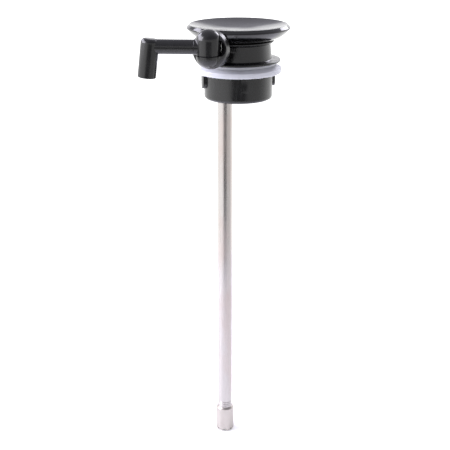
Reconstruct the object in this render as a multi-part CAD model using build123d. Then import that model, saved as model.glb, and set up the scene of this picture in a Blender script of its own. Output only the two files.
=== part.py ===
from build123d import *
from math import cos, radians, sin, sqrt
import os

# Push-plate dispensing pump for a vacuum flask, as an assembly of separate pieces.
# The origin is the centre of the neck plug in the plane of the gasket's underside,
# which rests on the flask's rim. +Z is up, and the outlet neck points along -Y.
# Lengths are in millimetres.

# Pump housing and the flange that covers the flask's rim
BORE_R = 23.9
SLEEVE_R = 25.9
SLEEVE_BOTTOM = -9.0
FLANGE_R = 34.0
FLANGE_BOTTOM = 8.9
FLANGE_TOP = 10.8
BODY_FOOT_R = 26.95
BODY_HEAD_R = 25.95
BODY_TOP = 23.5

# Retaining ring on top of the housing
RING_IN_R = 23.0
RING_LIP_R = 28.8
RING_TOP = 26.0

# Neck gasket
GASKET_IN_R = 26.1
GASKET_NECK_R = 29.6
GASKET_R = 34.8
GASKET_RIM = 4.0
GASKET_LAND_R = 30.4
GASKET_RECESS = 0.5

# Neck collar with its bayonet lugs
COLLAR_R = 27.6
COLLAR_TOP_R = 27.75
COLLAR_PILOT_TOP = -12.9
COLLAR_IN_R = 26.1
COLLAR_LEDGE_R = 25.0
COLLAR_BOTTOM = -21.5
COLLAR_FLOOR = 2.0
LUG_COUNT = 4
LUG_FIRST_ANGLE = -51.2
LUG_WIDTH = 9.7
LUG_REACH = 2.4
LUG_BOTTOM = -12.4
LUG_TOP = -0.6
AIR_HOLE_R = 1.8
AIR_HOLE_PCR = 10.0
SCREW_ANGLES = (90.0, 195.0, -15.0)
SCREW_PCR = 21.0
SCREW_R = 1.5
SCREW_HEAD_R = 2.8
SCREW_HEAD = 1.8
SCREW_SEAT = -19.3
SCREW_PAD_R = 4.4
SCREW_BOSS_BOTTOM = -17.3

# Bellows seat, an inverted cup inside the plunger
SEAT_R = 20.8
SEAT_WALL = 1.6
SEAT_FLANGE_BOTTOM = -11.0
DECK_TOP = 22.0
DECK = 1.5

# Outlet passage
NECK_Z = 17.0
NECK_R = 5.0
PIPE_R = 4.2
PIPE_BORE_R = 3.1
PIPE_FIT = 0.1
PIPE_RHO = 14.3
BOSS_R = 5.5
BOSS_FACE = 27.2
PIPE_END = 34.0

# Riser tube and foot
TUBE_R = 6.0
TUBE_WALL = 1.0
TUBE_X = -3.7
TUBE_Y = -16.8
TUBE_TOP = -13.5
TUBE_BOTTOM = -305.0
SOCKET_R = 7.5
SOCKET_BOTTOM = -19.4
TUBE_SEAL_Z = -16.5
TUBE_SEAL_R = 0.35
FOOT_R = 7.7
FOOT_TOP = -292.0
FOOT_BOTTOM = -314.0
FOOT_SLOTS = 8
BALL_R = 3.2
BALL_Z = -306.74
BALL_LIFT = 1.8
PIN_R = 0.6
PIN_Z = BALL_Z + BALL_R + BALL_LIFT + PIN_R + 0.3

# Plunger: push plate, guide skirt and bellows disc
PLATE_R = 41.7
PLATE_RIM_R = 39.1
PLATE_RIM_TOP = 38.3
PLATE_LIP_Z = 35.7
PLATE_BOTTOM = 26.5
DISH_Z = 33.0
DISH_UNDER_Z = 30.4
SKIRT_R = 22.9
SKIRT_IN_R = 21.1
SKIRT_LIP_R = 23.8
SKIRT_BOTTOM = -1.2
SKIRT_LIP = 2.4
PLATE_SCREW_PCR = 24.4
PLATE_SCREWS = 4
DISC_R = 17.8
DISC_BOTTOM = 29.0

# Bellows and return spring, pressed flat
BELLOWS_R = 17.6
BELLOWS_ROOT_R = 12.4
BELLOWS_WALL = 0.7
FOLDS = 3
SPRING_R = 8.2
SPRING_WIRE_R = 0.5
SPRING_TURNS = 4

# Swivel hub in front of the plate
HUB_RHO = 53.0
HUB_R = 9.6
HUB_SEAM = 21.0
SEAM_GAP = 0.3
HUB_TOP = 41.0
HUB_TOP_RISE = 8.6
DRUM_R = 14.7
DRUM_Z = 24.9
DRUM_BACK = 45.5
DRUM_FACE = 55.0
DRUM_ROUND = 4.0
POCKET_GAP = 0.4
WAY_GAP = 0.6
POST_R = 5.98
POST_TOP = 36.0
HOOD_BORE_R = 6.05
SEAL_R = 0.8
SEAL_RING_R = 5.2
SEAL_Z = (22.9, 31.4)
CLIP_Z = 33.6
CLIP = 0.8

# Spout
ARM_ANGLE = 68.0
ARM_Z = 27.3
ARM_R = 5.7
ARM_BORE_R = 3.5
ARM_SPIGOT_R = 4.6
ARM_START = 11.0
ARM_LENGTH = 45.0
STUB_R = 5.95
OUTLET_R = 7.2
OUTLET_BORE_R = 5.0
OUTLET_LEAN = 6.5
OUTLET_TOP = 33.6
OUTLET_BOTTOM = 3.4

# Lock slider beside the neck
LOCK_ANGLE = -72.5
LOCK_Z = 21.3
LOCK_WIDTH = 5.4
LOCK_HEIGHT = 3.8
LOCK_STEM = 2.0
LOCK_STEM_SHIFT = -0.9
LOCK_TRAVEL = 2.2

FROM_FOOT = (Align.CENTER, Align.CENTER, Align.MIN)
AXIS_Z = Axis.Z


def turned(*points):
    """A solid of revolution about Z from a closed outline of (radius, height) points."""
    with BuildPart() as part:
        with BuildSketch(Plane.XZ):
            with BuildLine():
                Polyline(*points, close=True)
            make_face()
        revolve(axis=AXIS_Z)
    return part.part


def rod(radius, low, high, x=0.0, y=0.0):
    """An upright cylinder between two heights."""
    return Pos(x, y, low) * Cylinder(radius, high - low, align=FROM_FOOT)


def radial_rod(radius, near, far, z, x=0.0):
    """A cylinder along -Y between two distances from the Z axis."""
    turn = Rot(90, 0, 0)
    return Pos(x, -near, z) * turn * Cylinder(radius, far - near, align=FROM_FOOT)


def ring(inner, outer, low, high, x=0.0, y=0.0):
    """A flat washer or tube between two heights."""
    return rod(outer, low, high, x, y) - rod(inner, low - 1, high + 1, x, y)


def polar(radius, degrees):
    """X and Y of a point at a radius and an angle from +X."""
    return radius * cos(radians(degrees)), radius * sin(radians(degrees))


def lock_place(radius, shift=0.0):
    """The lock's own frame on the housing wall: X along the wall, Z up, -Y outward."""
    x, y = polar(radius, LOCK_ANGLE)
    return Pos(x, y, LOCK_Z) * Rot(0, 0, LOCK_ANGLE + 90) * Pos(shift, 0, 0)


def pump_housing():
    """Bore, sleeve, thin flange and the boss that the outlet neck seats on."""
    body = turned(
        (BORE_R, SLEEVE_BOTTOM),
        (SLEEVE_R, SLEEVE_BOTTOM),
        (SLEEVE_R, FLANGE_BOTTOM),
        (FLANGE_R - 0.6, FLANGE_BOTTOM),
        (FLANGE_R, FLANGE_BOTTOM + 0.6),
        (FLANGE_R, FLANGE_TOP - 0.5),
        (FLANGE_R - 0.5, FLANGE_TOP),
        (BODY_FOOT_R + 1.0, FLANGE_TOP),
        (BODY_FOOT_R, FLANGE_TOP + 1.0),
        (BODY_HEAD_R, BODY_TOP),
        (BORE_R, BODY_TOP),
    )
    boss = radial_rod(BOSS_R, BORE_R + 1.0, BOSS_FACE, NECK_Z)
    boss = boss & Pos(0, 0, (FLANGE_TOP + BODY_TOP) / 2) * Box(80, 80, BODY_TOP - FLANGE_TOP)
    body = body + (boss - rod(BORE_R, SLEEVE_BOTTOM, BODY_TOP))
    body = body - radial_rod(PIPE_R + PIPE_FIT, BORE_R - 4, BOSS_FACE + 1, NECK_Z)
    slot_depth = BODY_FOOT_R - BORE_R + 4
    slot = Box(LOCK_STEM + LOCK_TRAVEL + 0.4, slot_depth, LOCK_HEIGHT - 1.6)
    return body - lock_place(BORE_R, LOCK_STEM_SHIFT + LOCK_TRAVEL / 2) * slot


def retaining_ring():
    """Ring that closes the housing and keeps the plunger in, with a flared lip."""
    return turned(
        (RING_IN_R, BODY_TOP),
        (BODY_HEAD_R + 0.8, BODY_TOP),
        (RING_LIP_R, RING_TOP - 0.9),
        (RING_LIP_R, RING_TOP - 0.3),
        (RING_LIP_R - 0.3, RING_TOP),
        (RING_IN_R, RING_TOP),
    )


def neck_gasket():
    """Soft gasket clamped between the flange and the collar."""
    return turned(
        (GASKET_IN_R, GASKET_RECESS),
        (GASKET_LAND_R - 0.3, GASKET_RECESS),
        (GASKET_LAND_R, 0),
        (GASKET_R - 0.6, 0),
        (GASKET_R, 0.6),
        (GASKET_R, GASKET_RIM - 0.5),
        (GASKET_R - 0.6, GASKET_RIM),
        (GASKET_NECK_R + 0.6, 6.2),
        (GASKET_NECK_R, 6.8),
        (GASKET_NECK_R, FLANGE_BOTTOM),
        (GASKET_IN_R, FLANGE_BOTTOM),
    )


def bayonet_lug(angle):
    """One upright lug with a round lower end, following the collar's curve."""
    half = LUG_WIDTH / 2
    outline = Pos(0, 0, (LUG_BOTTOM + half + LUG_TOP) / 2) * Box(14, LUG_WIDTH, LUG_TOP - LUG_BOTTOM - half)
    outline = outline + Pos(0, 0, LUG_BOTTOM + half) * Rot(0, 90, 0) * Cylinder(half, 14)
    shell = ring(COLLAR_R - 0.5, COLLAR_R + LUG_REACH, LUG_BOTTOM - 1, LUG_TOP + 1)
    return shell & (Rot(0, 0, angle) * Pos(COLLAR_R, 0, 0) * outline)


def neck_collar():
    """Cup that plugs the flask's neck, with four lugs, air holes and a hole for the tube."""
    floor_top = COLLAR_BOTTOM + COLLAR_FLOOR
    cup = turned(
        (0, COLLAR_BOTTOM),
        (COLLAR_R - 3.0, COLLAR_BOTTOM),
        (COLLAR_R - 1.5, COLLAR_BOTTOM + 0.4),
        (COLLAR_R - 0.4, COLLAR_BOTTOM + 1.5),
        (COLLAR_R, COLLAR_BOTTOM + 3.0),
        (COLLAR_R, COLLAR_PILOT_TOP),
        (COLLAR_TOP_R, GASKET_RECESS),
        (COLLAR_IN_R, GASKET_RECESS),
        (COLLAR_IN_R, SEAT_FLANGE_BOTTOM),
        (COLLAR_LEDGE_R, SEAT_FLANGE_BOTTOM),
        (COLLAR_LEDGE_R, floor_top),
        (0, floor_top),
    )
    for index in range(LUG_COUNT):
        cup = cup + bayonet_lug(LUG_FIRST_ANGLE + index * 360 / LUG_COUNT)
    cup = cup - rod(TUBE_R + PIPE_FIT, COLLAR_BOTTOM - 1, floor_top + 1, TUBE_X, TUBE_Y)
    for index in range(6):
        x, y = polar(AIR_HOLE_PCR, 30 + index * 60)
        if y > TUBE_Y + TUBE_R + AIR_HOLE_R + 2:
            cup = cup - rod(AIR_HOLE_R, COLLAR_BOTTOM - 1, floor_top + 1, x, y)
    for angle in SCREW_ANGLES:
        x, y = polar(SCREW_PCR, angle)
        cup = cup + rod(SCREW_PAD_R, floor_top - 0.5, SCREW_BOSS_BOTTOM, x, y)
        cup = cup - rod(SCREW_R + 0.2, COLLAR_BOTTOM - 1, SCREW_BOSS_BOTTOM + 1, x, y)
        cup = cup - rod(SCREW_HEAD_R + 0.3, COLLAR_BOTTOM - 1, SCREW_SEAT, x, y)
    return cup


def collar_screws():
    """Three sunk screws that hold the collar to the bellows seat."""
    screws = []
    for angle in SCREW_ANGLES:
        x, y = polar(SCREW_PCR, angle)
        head = rod(SCREW_HEAD_R, SCREW_SEAT - SCREW_HEAD, SCREW_SEAT, x, y)
        shank = rod(SCREW_R, SCREW_SEAT, SEAT_FLANGE_BOTTOM - 0.5, x, y)
        recess = Pos(x, y, SCREW_SEAT - SCREW_HEAD) * Box(3.6, 0.9, 1.8)
        cross = Pos(x, y, SCREW_SEAT - SCREW_HEAD) * Box(0.9, 3.6, 1.8)
        screws.append(head + shank - recess - cross)
    return Compound(children=screws)


def bellows_seat():
    """Inverted cup that carries the bellows, with a clamped flange and screw bosses."""
    inner = SEAT_R - SEAT_WALL
    cup = turned(
        (inner, SEAT_FLANGE_BOTTOM),
        (SLEEVE_R, SEAT_FLANGE_BOTTOM),
        (SLEEVE_R, SLEEVE_BOTTOM),
        (SEAT_R, SLEEVE_BOTTOM),
        (SEAT_R, DECK_TOP),
        (0, DECK_TOP),
        (0, DECK_TOP - DECK),
        (inner, DECK_TOP - DECK),
    )
    for angle in SCREW_ANGLES:
        x, y = polar(SCREW_PCR, angle)
        cup = cup + rod(3.2, SCREW_BOSS_BOTTOM, SEAT_FLANGE_BOTTOM, x, y)
        cup = cup - rod(SCREW_R, SCREW_BOSS_BOTTOM - 1, SEAT_FLANGE_BOTTOM + 0.4, x, y)
    for index in range(6):
        x, y = polar(4.6, index * 60)
        cup = cup - rod(1.1, DECK_TOP - DECK - 1, DECK_TOP + 1, x, y)
    cup = cup - rod(1.5, DECK_TOP - DECK - 1, DECK_TOP + 1)
    return cup - radial_rod(PIPE_R + PIPE_FIT, PIPE_RHO - PIPE_R - 1, SEAT_R + 2, NECK_Z)


def delivery_flap():
    """Rubber disc under the deck that lets air down into the flask only."""
    return ring(1.5, 7.5, DECK_TOP - DECK - 0.8, DECK_TOP - DECK)


def flap_rivet():
    """Snap rivet that holds the delivery flap at its centre."""
    top = rod(2.6, DECK_TOP, DECK_TOP + 0.9)
    stem = rod(1.48, DECK_TOP - DECK - 0.8, DECK_TOP)
    foot = rod(2.8, DECK_TOP - DECK - 2.0, DECK_TOP - DECK - 0.8)
    return top + stem + foot


def bellows_clamp():
    """Ring that holds the bellows' bottom flange down on the deck."""
    return ring(BELLOWS_R + 0.5, SEAT_R - 0.2, DECK_TOP + 0.7, DECK_TOP + 1.6)


def bellows():
    """Rubber bellows, pressed down to its closed height."""
    low = DECK_TOP + BELLOWS_WALL
    high = DISC_BOTTOM - BELLOWS_WALL
    half = (high - low) / (2 * FOLDS)
    wide = half * 0.64
    thin = half * 0.21
    root = BELLOWS_ROOT_R + BELLOWS_WALL
    outer = [(SEAT_R - 0.2, DECK_TOP), (SEAT_R - 0.2, low), (root, low)]
    inner = [(BELLOWS_ROOT_R, DECK_TOP)]
    for index in range(FOLDS):
        crest = low + (2 * index + 1) * half
        outer += [
            (root, crest - half + thin),
            (BELLOWS_R, crest - wide),
            (BELLOWS_R, crest + wide),
            (root, crest + half - thin),
        ]
        inner += [
            (BELLOWS_ROOT_R, crest - half + wide),
            (BELLOWS_R - BELLOWS_WALL, crest - thin),
            (BELLOWS_R - BELLOWS_WALL, crest + thin),
            (BELLOWS_ROOT_R, crest + half - wide),
        ]
    outer += [(root, high), (DISC_R - 0.4, high), (DISC_R - 0.4, DISC_BOTTOM)]
    inner += [(BELLOWS_ROOT_R, DISC_BOTTOM)]
    return turned(*outer, *reversed(inner))


def return_spring():
    """Coil spring inside the bellows that lifts the plate."""
    low = DECK_TOP + SPRING_WIRE_R + 0.05
    high = DISC_BOTTOM - SPRING_WIRE_R - 0.1
    path = Pos(0, 0, low) * Helix(pitch=(high - low) / SPRING_TURNS, height=high - low, radius=SPRING_R)
    with BuildPart() as part:
        with BuildSketch(Plane(origin=path @ 0, z_dir=path % 0)):
            Circle(SPRING_WIRE_R)
        sweep(path=path, is_frenet=True)
    return part.part


def outlet_elbow():
    """Moulded passage from the riser tube's socket up and out into the neck."""
    pipe = rod(PIPE_R, TUBE_TOP - 0.5, NECK_Z, 0, -PIPE_RHO)
    pipe = pipe + Pos(0, -PIPE_RHO, NECK_Z) * Sphere(PIPE_R)
    pipe = pipe + radial_rod(PIPE_R, PIPE_RHO, PIPE_END, NECK_Z)
    socket = rod(SOCKET_R, SOCKET_BOTTOM, SEAT_FLANGE_BOTTOM - 0.2, TUBE_X, TUBE_Y)
    elbow = pipe + socket
    elbow = elbow - rod(TUBE_R + 0.05, SOCKET_BOTTOM - 1, TUBE_TOP, TUBE_X, TUBE_Y)
    elbow = elbow - rod(TUBE_R - TUBE_WALL, TUBE_TOP - 1, TUBE_TOP + 1.3, TUBE_X, TUBE_Y)
    elbow = elbow - rod(PIPE_BORE_R, TUBE_TOP + 0.9, NECK_Z, 0, -PIPE_RHO)
    elbow = elbow - Pos(0, -PIPE_RHO, NECK_Z) * Sphere(PIPE_BORE_R)
    elbow = elbow - radial_rod(PIPE_BORE_R, PIPE_RHO, PIPE_END + 1, NECK_Z)
    groove_low = TUBE_SEAL_Z - 2 * TUBE_SEAL_R
    groove_high = TUBE_SEAL_Z + 2 * TUBE_SEAL_R
    elbow = elbow - ring(TUBE_R - 0.2, TUBE_R + 0.75, groove_low, groove_high, TUBE_X, TUBE_Y)
    groove = radial_rod(PIPE_R + 1, PIPE_END - 2.6, PIPE_END - 1.2, NECK_Z)
    return elbow - (groove - radial_rod(PIPE_R - 0.6, 0, PIPE_END + 2, NECK_Z))


def elbow_seal():
    """O-ring on the elbow's spigot inside the neck."""
    return Pos(0, -(PIPE_END - 1.9), NECK_Z) * Rot(90, 0, 0) * Torus(PIPE_R - 0.28, 0.32)


def tube_seal():
    """O-ring between the riser tube and its socket."""
    return Pos(TUBE_X, TUBE_Y, TUBE_SEAL_Z) * Torus(TUBE_R + TUBE_SEAL_R, TUBE_SEAL_R)


def riser_tube():
    """Stainless tube that reaches the bottom of the flask, cross-drilled for the pin."""
    tube = ring(TUBE_R - TUBE_WALL, TUBE_R, TUBE_BOTTOM, TUBE_TOP, TUBE_X, TUBE_Y)
    return tube - Pos(TUBE_X, TUBE_Y, PIN_Z) * Rot(0, 90, 0) * Cylinder(PIN_R + 0.02, 2 * TUBE_R + 2)


def foot_fitting():
    """Turned sleeve on the tube's lower end with intake notches around its mouth."""
    sleeve = turned(
        (TUBE_R, FOOT_TOP),
        (TUBE_R + 0.5, FOOT_TOP),
        (FOOT_R, FOOT_TOP - 4.2),
        (FOOT_R, FOOT_BOTTOM + 1.0),
        (FOOT_R - 1.0, FOOT_BOTTOM),
        (TUBE_R - 0.6, FOOT_BOTTOM),
        (TUBE_R - 0.6, FOOT_BOTTOM + 4.0),
        (TUBE_R, FOOT_BOTTOM + 4.0),
    )
    for index in range(FOOT_SLOTS):
        angle = (index + 0.5) * 360 / FOOT_SLOTS
        notch = Pos(FOOT_R, 0, FOOT_BOTTOM) * Box(6, 2.2, 4.4)
        sleeve = sleeve - Rot(0, 0, angle) * notch
    return Pos(TUBE_X, TUBE_Y, 0) * sleeve


def foot_valve_seat():
    """Insert at the tube's end with the conical seat for the ball."""
    low = FOOT_BOTTOM + 4.0
    seat = turned(
        (2.0, low),
        (TUBE_R - 0.02, low),
        (TUBE_R - 0.02, TUBE_BOTTOM),
        (BALL_R + 0.9, TUBE_BOTTOM),
        (BALL_R + 0.9, low + 2.6),
        (2.0, low + 0.7),
    )
    return Pos(TUBE_X, TUBE_Y, 0) * seat


def foot_valve_ball():
    """Check ball that lets the drink up and not back."""
    return Pos(TUBE_X, TUBE_Y, BALL_Z) * Sphere(BALL_R)


def foot_valve_pin():
    """Cross pin in the tube that limits the ball's lift."""
    return Pos(TUBE_X, TUBE_Y, PIN_Z) * Rot(0, 90, 0) * Cylinder(PIN_R, 2 * TUBE_R - 0.2)


def dish_point(radius):
    """Point on the dish's spherical floor at a radius."""
    edge = PLATE_RIM_R - 0.6
    depth = PLATE_RIM_TOP - 0.25 - DISH_Z
    sphere = (edge**2 + depth**2) / (2 * depth)
    return radius, DISH_Z + sphere - sqrt(sphere**2 - radius**2)


def push_plate():
    """Dished palm plate with a rolled rim and a bowl-shaped underside."""
    with BuildPart() as part:
        with BuildSketch(Plane.XZ):
            with BuildLine():
                ThreePointArc((28.4, PLATE_BOTTOM), (36.6, 30.4), (PLATE_R - 0.3, PLATE_LIP_Z - 0.7))
                ThreePointArc((PLATE_R - 0.3, PLATE_LIP_Z - 0.7), (PLATE_R, PLATE_LIP_Z), (PLATE_R - 0.4, 36.4))
                Polyline((PLATE_R - 0.4, 36.4), (PLATE_RIM_R + 0.5, PLATE_RIM_TOP - 0.2))
                ThreePointArc(
                    (PLATE_RIM_R + 0.5, PLATE_RIM_TOP - 0.2),
                    (PLATE_RIM_R, PLATE_RIM_TOP),
                    (PLATE_RIM_R - 0.6, PLATE_RIM_TOP - 0.25),
                )
                ThreePointArc((PLATE_RIM_R - 0.6, PLATE_RIM_TOP - 0.25), dish_point(22.0), (0, DISH_Z))
                Polyline(
                    (0, DISH_Z),
                    (0, DISH_UNDER_Z),
                    (26.0, DISH_UNDER_Z),
                    (26.0, PLATE_BOTTOM),
                    (28.4, PLATE_BOTTOM),
                )
            make_face()
        revolve(axis=AXIS_Z)
    plate = part.part
    for index in range(PLATE_SCREWS):
        x, y = polar(PLATE_SCREW_PCR, 45 + index * 90)
        plate = plate - rod(0.9, DISH_UNDER_Z - 1, DISH_UNDER_Z + 2.4, x, y)
    return plate - rod(0.75, DISH_UNDER_Z - 1, DISH_UNDER_Z + 1.2)


def guide_skirt():
    """Guide sleeve under the plate, slotted where the outlet passage crosses it."""
    skirt = turned(
        (SKIRT_IN_R, SKIRT_BOTTOM),
        (SKIRT_LIP_R, SKIRT_BOTTOM),
        (SKIRT_LIP_R, SKIRT_BOTTOM + SKIRT_LIP - 0.6),
        (SKIRT_R, SKIRT_BOTTOM + SKIRT_LIP),
        (SKIRT_R, DISH_UNDER_Z - 2.0),
        (25.9, DISH_UNDER_Z - 2.0),
        (25.9, DISH_UNDER_Z),
        (SKIRT_IN_R, DISH_UNDER_Z),
    )
    slot_top = NECK_Z + PIPE_R + 0.6
    slot_low = SKIRT_BOTTOM - 1
    slot = Pos(0, -SKIRT_R, (slot_low + slot_top) / 2) * Box(2 * PIPE_R + 1.2, 12, slot_top - slot_low)
    skirt = skirt - slot
    for index in range(PLATE_SCREWS):
        x, y = polar(PLATE_SCREW_PCR, 45 + index * 90)
        skirt = skirt - rod(1.0, DISH_UNDER_Z - 3, DISH_UNDER_Z + 1, x, y)
    return skirt


def plate_screws():
    """Four small screws that hold the guide skirt to the plate."""
    screws = []
    for index in range(PLATE_SCREWS):
        x, y = polar(PLATE_SCREW_PCR, 45 + index * 90)
        head = rod(1.35, DISH_UNDER_Z - 3.0, DISH_UNDER_Z - 2.0, x, y)
        shank = rod(0.9, DISH_UNDER_Z - 2.0, DISH_UNDER_Z + 2.2, x, y)
        screws.append(head + shank)
    return Compound(children=screws)


def bellows_disc():
    """Rigid disc that carries the bellows' top flange under the plate."""
    disc = rod(DISC_R, DISC_BOTTOM, DISH_UNDER_Z)
    for index in range(4):
        x, y = polar(2.9, index * 90)
        disc = disc - rod(0.8, DISC_BOTTOM - 1, DISH_UNDER_Z + 1, x, y)
    disc = disc - Pos(8.0, 0, DISH_UNDER_Z) * Box(24.0, 1.6, 1.0)
    return disc - rod(0.75, DISC_BOTTOM - 1, DISH_UNDER_Z + 1)


def intake_flap():
    """Rubber intake flap with a moulded stem, under the bellows disc."""
    return rod(4.4, DISC_BOTTOM - 0.7, DISC_BOTTOM) + rod(0.74, DISC_BOTTOM - 0.2, DISH_UNDER_Z + 1.0)


def dome(radius, foot, turn, rise):
    """An upright pillar from its foot, ending in an elliptical dome that rises from a height."""
    crown = turn + rise
    with BuildPart() as part:
        with BuildSketch(Plane.XZ):
            with BuildLine():
                Polyline((0, crown), (0, foot), (radius, foot), (radius, turn))
                EllipticalCenterArc((0, turn), radius, rise, start_angle=0, arc_size=90)
            make_face()
        revolve(axis=AXIS_Z)
    return Pos(0, -HUB_RHO, 0) * part.part


def arm_way():
    """Everything that the arm sweeps through from one end of its swing to the other."""
    radius = STUB_R + WAY_GAP
    reach = 40.0
    left = polar(reach, -90 - ARM_ANGLE)
    right = polar(reach, -90 + ARM_ANGLE)
    with BuildPart() as part:
        with BuildSketch(Plane.XY):
            Polygon((0, 0), left, (left[0], -reach), (right[0], -reach), right, align=None)
        extrude(amount=2 * radius)
    way = Pos(0, -HUB_RHO, ARM_Z - radius) * part.part
    for angle in (-ARM_ANGLE, ARM_ANGLE):
        way = way + Pos(0, -HUB_RHO, ARM_Z) * Rot(0, 0, angle) * radial_rod(radius, 0, reach, 0)
    return way


def outlet_hub():
    """Neck, round cheek, lower half of the pillar and the hollow swivel post."""
    drum = radial_rod(DRUM_R, DRUM_BACK, DRUM_FACE, DRUM_Z)
    drum = fillet(drum.edges().group_by(Axis.Y)[0], DRUM_ROUND)
    drum = drum + radial_rod(NECK_R, BOSS_FACE, HUB_RHO, NECK_Z)
    turn = HUB_TOP - HUB_TOP_RISE
    drum = drum - dome(HUB_R + POCKET_GAP, HUB_SEAM, turn, HUB_TOP_RISE + POCKET_GAP)
    hub = drum - arm_way()
    bowl = Sphere(HUB_R) - Pos(0, 0, HUB_R) * Box(4 * HUB_R, 4 * HUB_R, 2 * HUB_R)
    hub = hub + Pos(0, -HUB_RHO, HUB_SEAM) * bowl
    hub = hub + rod(POST_R, HUB_SEAM - 1, POST_TOP, 0, -HUB_RHO)
    hub = hub - radial_rod(PIPE_R + 0.05, BOSS_FACE - 1, PIPE_END + 0.4, NECK_Z)
    hub = hub - radial_rod(PIPE_BORE_R, BOSS_FACE, HUB_RHO, NECK_Z)
    hub = hub - rod(PIPE_BORE_R, NECK_Z, ARM_Z + 2.0, 0, -HUB_RHO)
    hub = hub - ring(4.6, POST_R + 1, ARM_Z - 2.2, ARM_Z + 2.2, 0, -HUB_RHO)
    for quarter in (0, 90):
        hub = hub - Pos(0, -HUB_RHO, ARM_Z) * Rot(0, 90, quarter) * Cylinder(1.9, 2 * POST_R)
    for height in SEAL_Z:
        hub = hub - ring(SEAL_RING_R - SEAL_R, POST_R + 1, height - SEAL_R - 0.1, height + SEAL_R + 0.1, 0, -HUB_RHO)
    return hub - ring(POST_R - 0.8, POST_R + 1, CLIP_Z - 0.05, CLIP_Z + CLIP + 0.05, 0, -HUB_RHO)


def swivel_seals():
    """Two O-rings above and below the post's ports."""
    return Compound(children=[Pos(0, -HUB_RHO, height) * Torus(SEAL_RING_R, SEAL_R) for height in SEAL_Z])


def hood_clip():
    """Split snap ring on the post that keeps the hood down."""
    clip = ring(POST_R - 0.8, POST_R + 0.7, CLIP_Z, CLIP_Z + CLIP, 0, -HUB_RHO)
    return clip - Pos(0, -HUB_RHO - 6, CLIP_Z) * Box(2.4, 6, 4)


def arm_frame(distance=0.0):
    """Frame at a distance along the arm, with Z pointing outward along it."""
    heading = -90 - ARM_ANGLE
    x, y = polar(distance, heading)
    return Plane(origin=(x, y - HUB_RHO, ARM_Z), z_dir=(*polar(1.0, heading), 0), x_dir=(0, 0, 1))


def along_arm(radius, near, far):
    """A cylinder on the arm's axis between two distances from the hub's axis."""
    return arm_frame(near) * Cylinder(radius, far - near, align=FROM_FOOT)


def swivel_hood():
    """Domed hood that turns on the post, with the socket for the arm."""
    hood = dome(HUB_R, HUB_SEAM + SEAM_GAP, HUB_TOP - HUB_TOP_RISE, HUB_TOP_RISE)
    hood = hood + along_arm(STUB_R, 2, ARM_START)
    hood = hood - rod(HOOD_BORE_R, HUB_SEAM, POST_TOP + 0.4, 0, -HUB_RHO)
    hood = hood - ring(HOOD_BORE_R - 1, POST_R + 0.9, CLIP_Z - 0.2, CLIP_Z + CLIP + 0.2, 0, -HUB_RHO)
    return hood - along_arm(ARM_SPIGOT_R + 0.02, 7.0, ARM_START + 1) - along_arm(2.2, 3, 9)


def outlet_frame():
    """Frame of the outlet's leaning axis where it crosses the arm's axis, Z pointing up."""
    heading = -90 - ARM_ANGLE
    out_x, out_y = polar(sin(radians(OUTLET_LEAN)), heading)
    x, y = polar(ARM_LENGTH, heading)
    z_dir = (-out_x, -out_y, cos(radians(OUTLET_LEAN)))
    return Plane(origin=(x, y - HUB_RHO, ARM_Z), z_dir=z_dir, x_dir=(-out_y, out_x, 0))


def along_outlet(radius, low, high):
    """A cylinder on the outlet's axis between two heights from the arm's axis."""
    return outlet_frame() * Pos(0, 0, low) * Cylinder(radius, high - low, align=FROM_FOOT)


def spout_arm():
    """Straight arm with a spigot in the hood and another in the outlet."""
    arm = along_arm(ARM_R, ARM_START, ARM_LENGTH) + along_arm(ARM_SPIGOT_R, 7.6, ARM_START + 1)
    arm = arm - along_outlet(OUTLET_R, -20, 20)
    arm = arm + (along_arm(ARM_SPIGOT_R, ARM_LENGTH - 12, ARM_LENGTH) - along_outlet(OUTLET_BORE_R + 0.6, -20, 20))
    return arm - along_arm(ARM_BORE_R, 5, ARM_LENGTH + 5)


def spout_outlet():
    """Downward outlet, closed and rounded on top."""
    top = OUTLET_TOP - ARM_Z
    low = OUTLET_BOTTOM - ARM_Z
    body = along_outlet(OUTLET_R, low, top)
    rounded = fillet(body.edges().group_by(Axis.Z)[-1], 4.6)
    body = rounded - along_outlet(OUTLET_BORE_R, low - 1, top - 3.0)
    return body - along_arm(ARM_SPIGOT_R + 0.02, ARM_LENGTH - 14, ARM_LENGTH)


def outlet_liner():
    """Liner in the outlet's mouth with a cross that steadies the stream."""
    low = OUTLET_BOTTOM - ARM_Z + 1.2
    liner = along_outlet(OUTLET_BORE_R - 0.02, low, low + 9) - along_outlet(OUTLET_BORE_R - 0.8, low - 1, low + 10)
    for turn in (0, 90):
        web = outlet_frame() * Pos(0, 0, low + 2.0) * Rot(0, 0, turn) * Box(2 * OUTLET_BORE_R - 1.2, 0.8, 4.0)
        liner = liner + web
    return liner


def lock_slider():
    """Small slider in the wall with a ribbed knob outside."""
    wall = BODY_FOOT_R - 0.1
    knob = lock_place(wall + 1.0) * Box(LOCK_WIDTH, 1.6, LOCK_HEIGHT)
    for index in range(3):
        groove = lock_place(wall + 1.8, (index - 1) * 1.5) * Box(0.5, 0.6, LOCK_HEIGHT + 1)
        knob = knob - groove
    stem = Box(LOCK_STEM, wall - BORE_R - 0.4, LOCK_HEIGHT - 2.0)
    stem = lock_place((BORE_R + wall) / 2 + 0.4, LOCK_STEM_SHIFT) * stem
    return knob + stem


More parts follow.
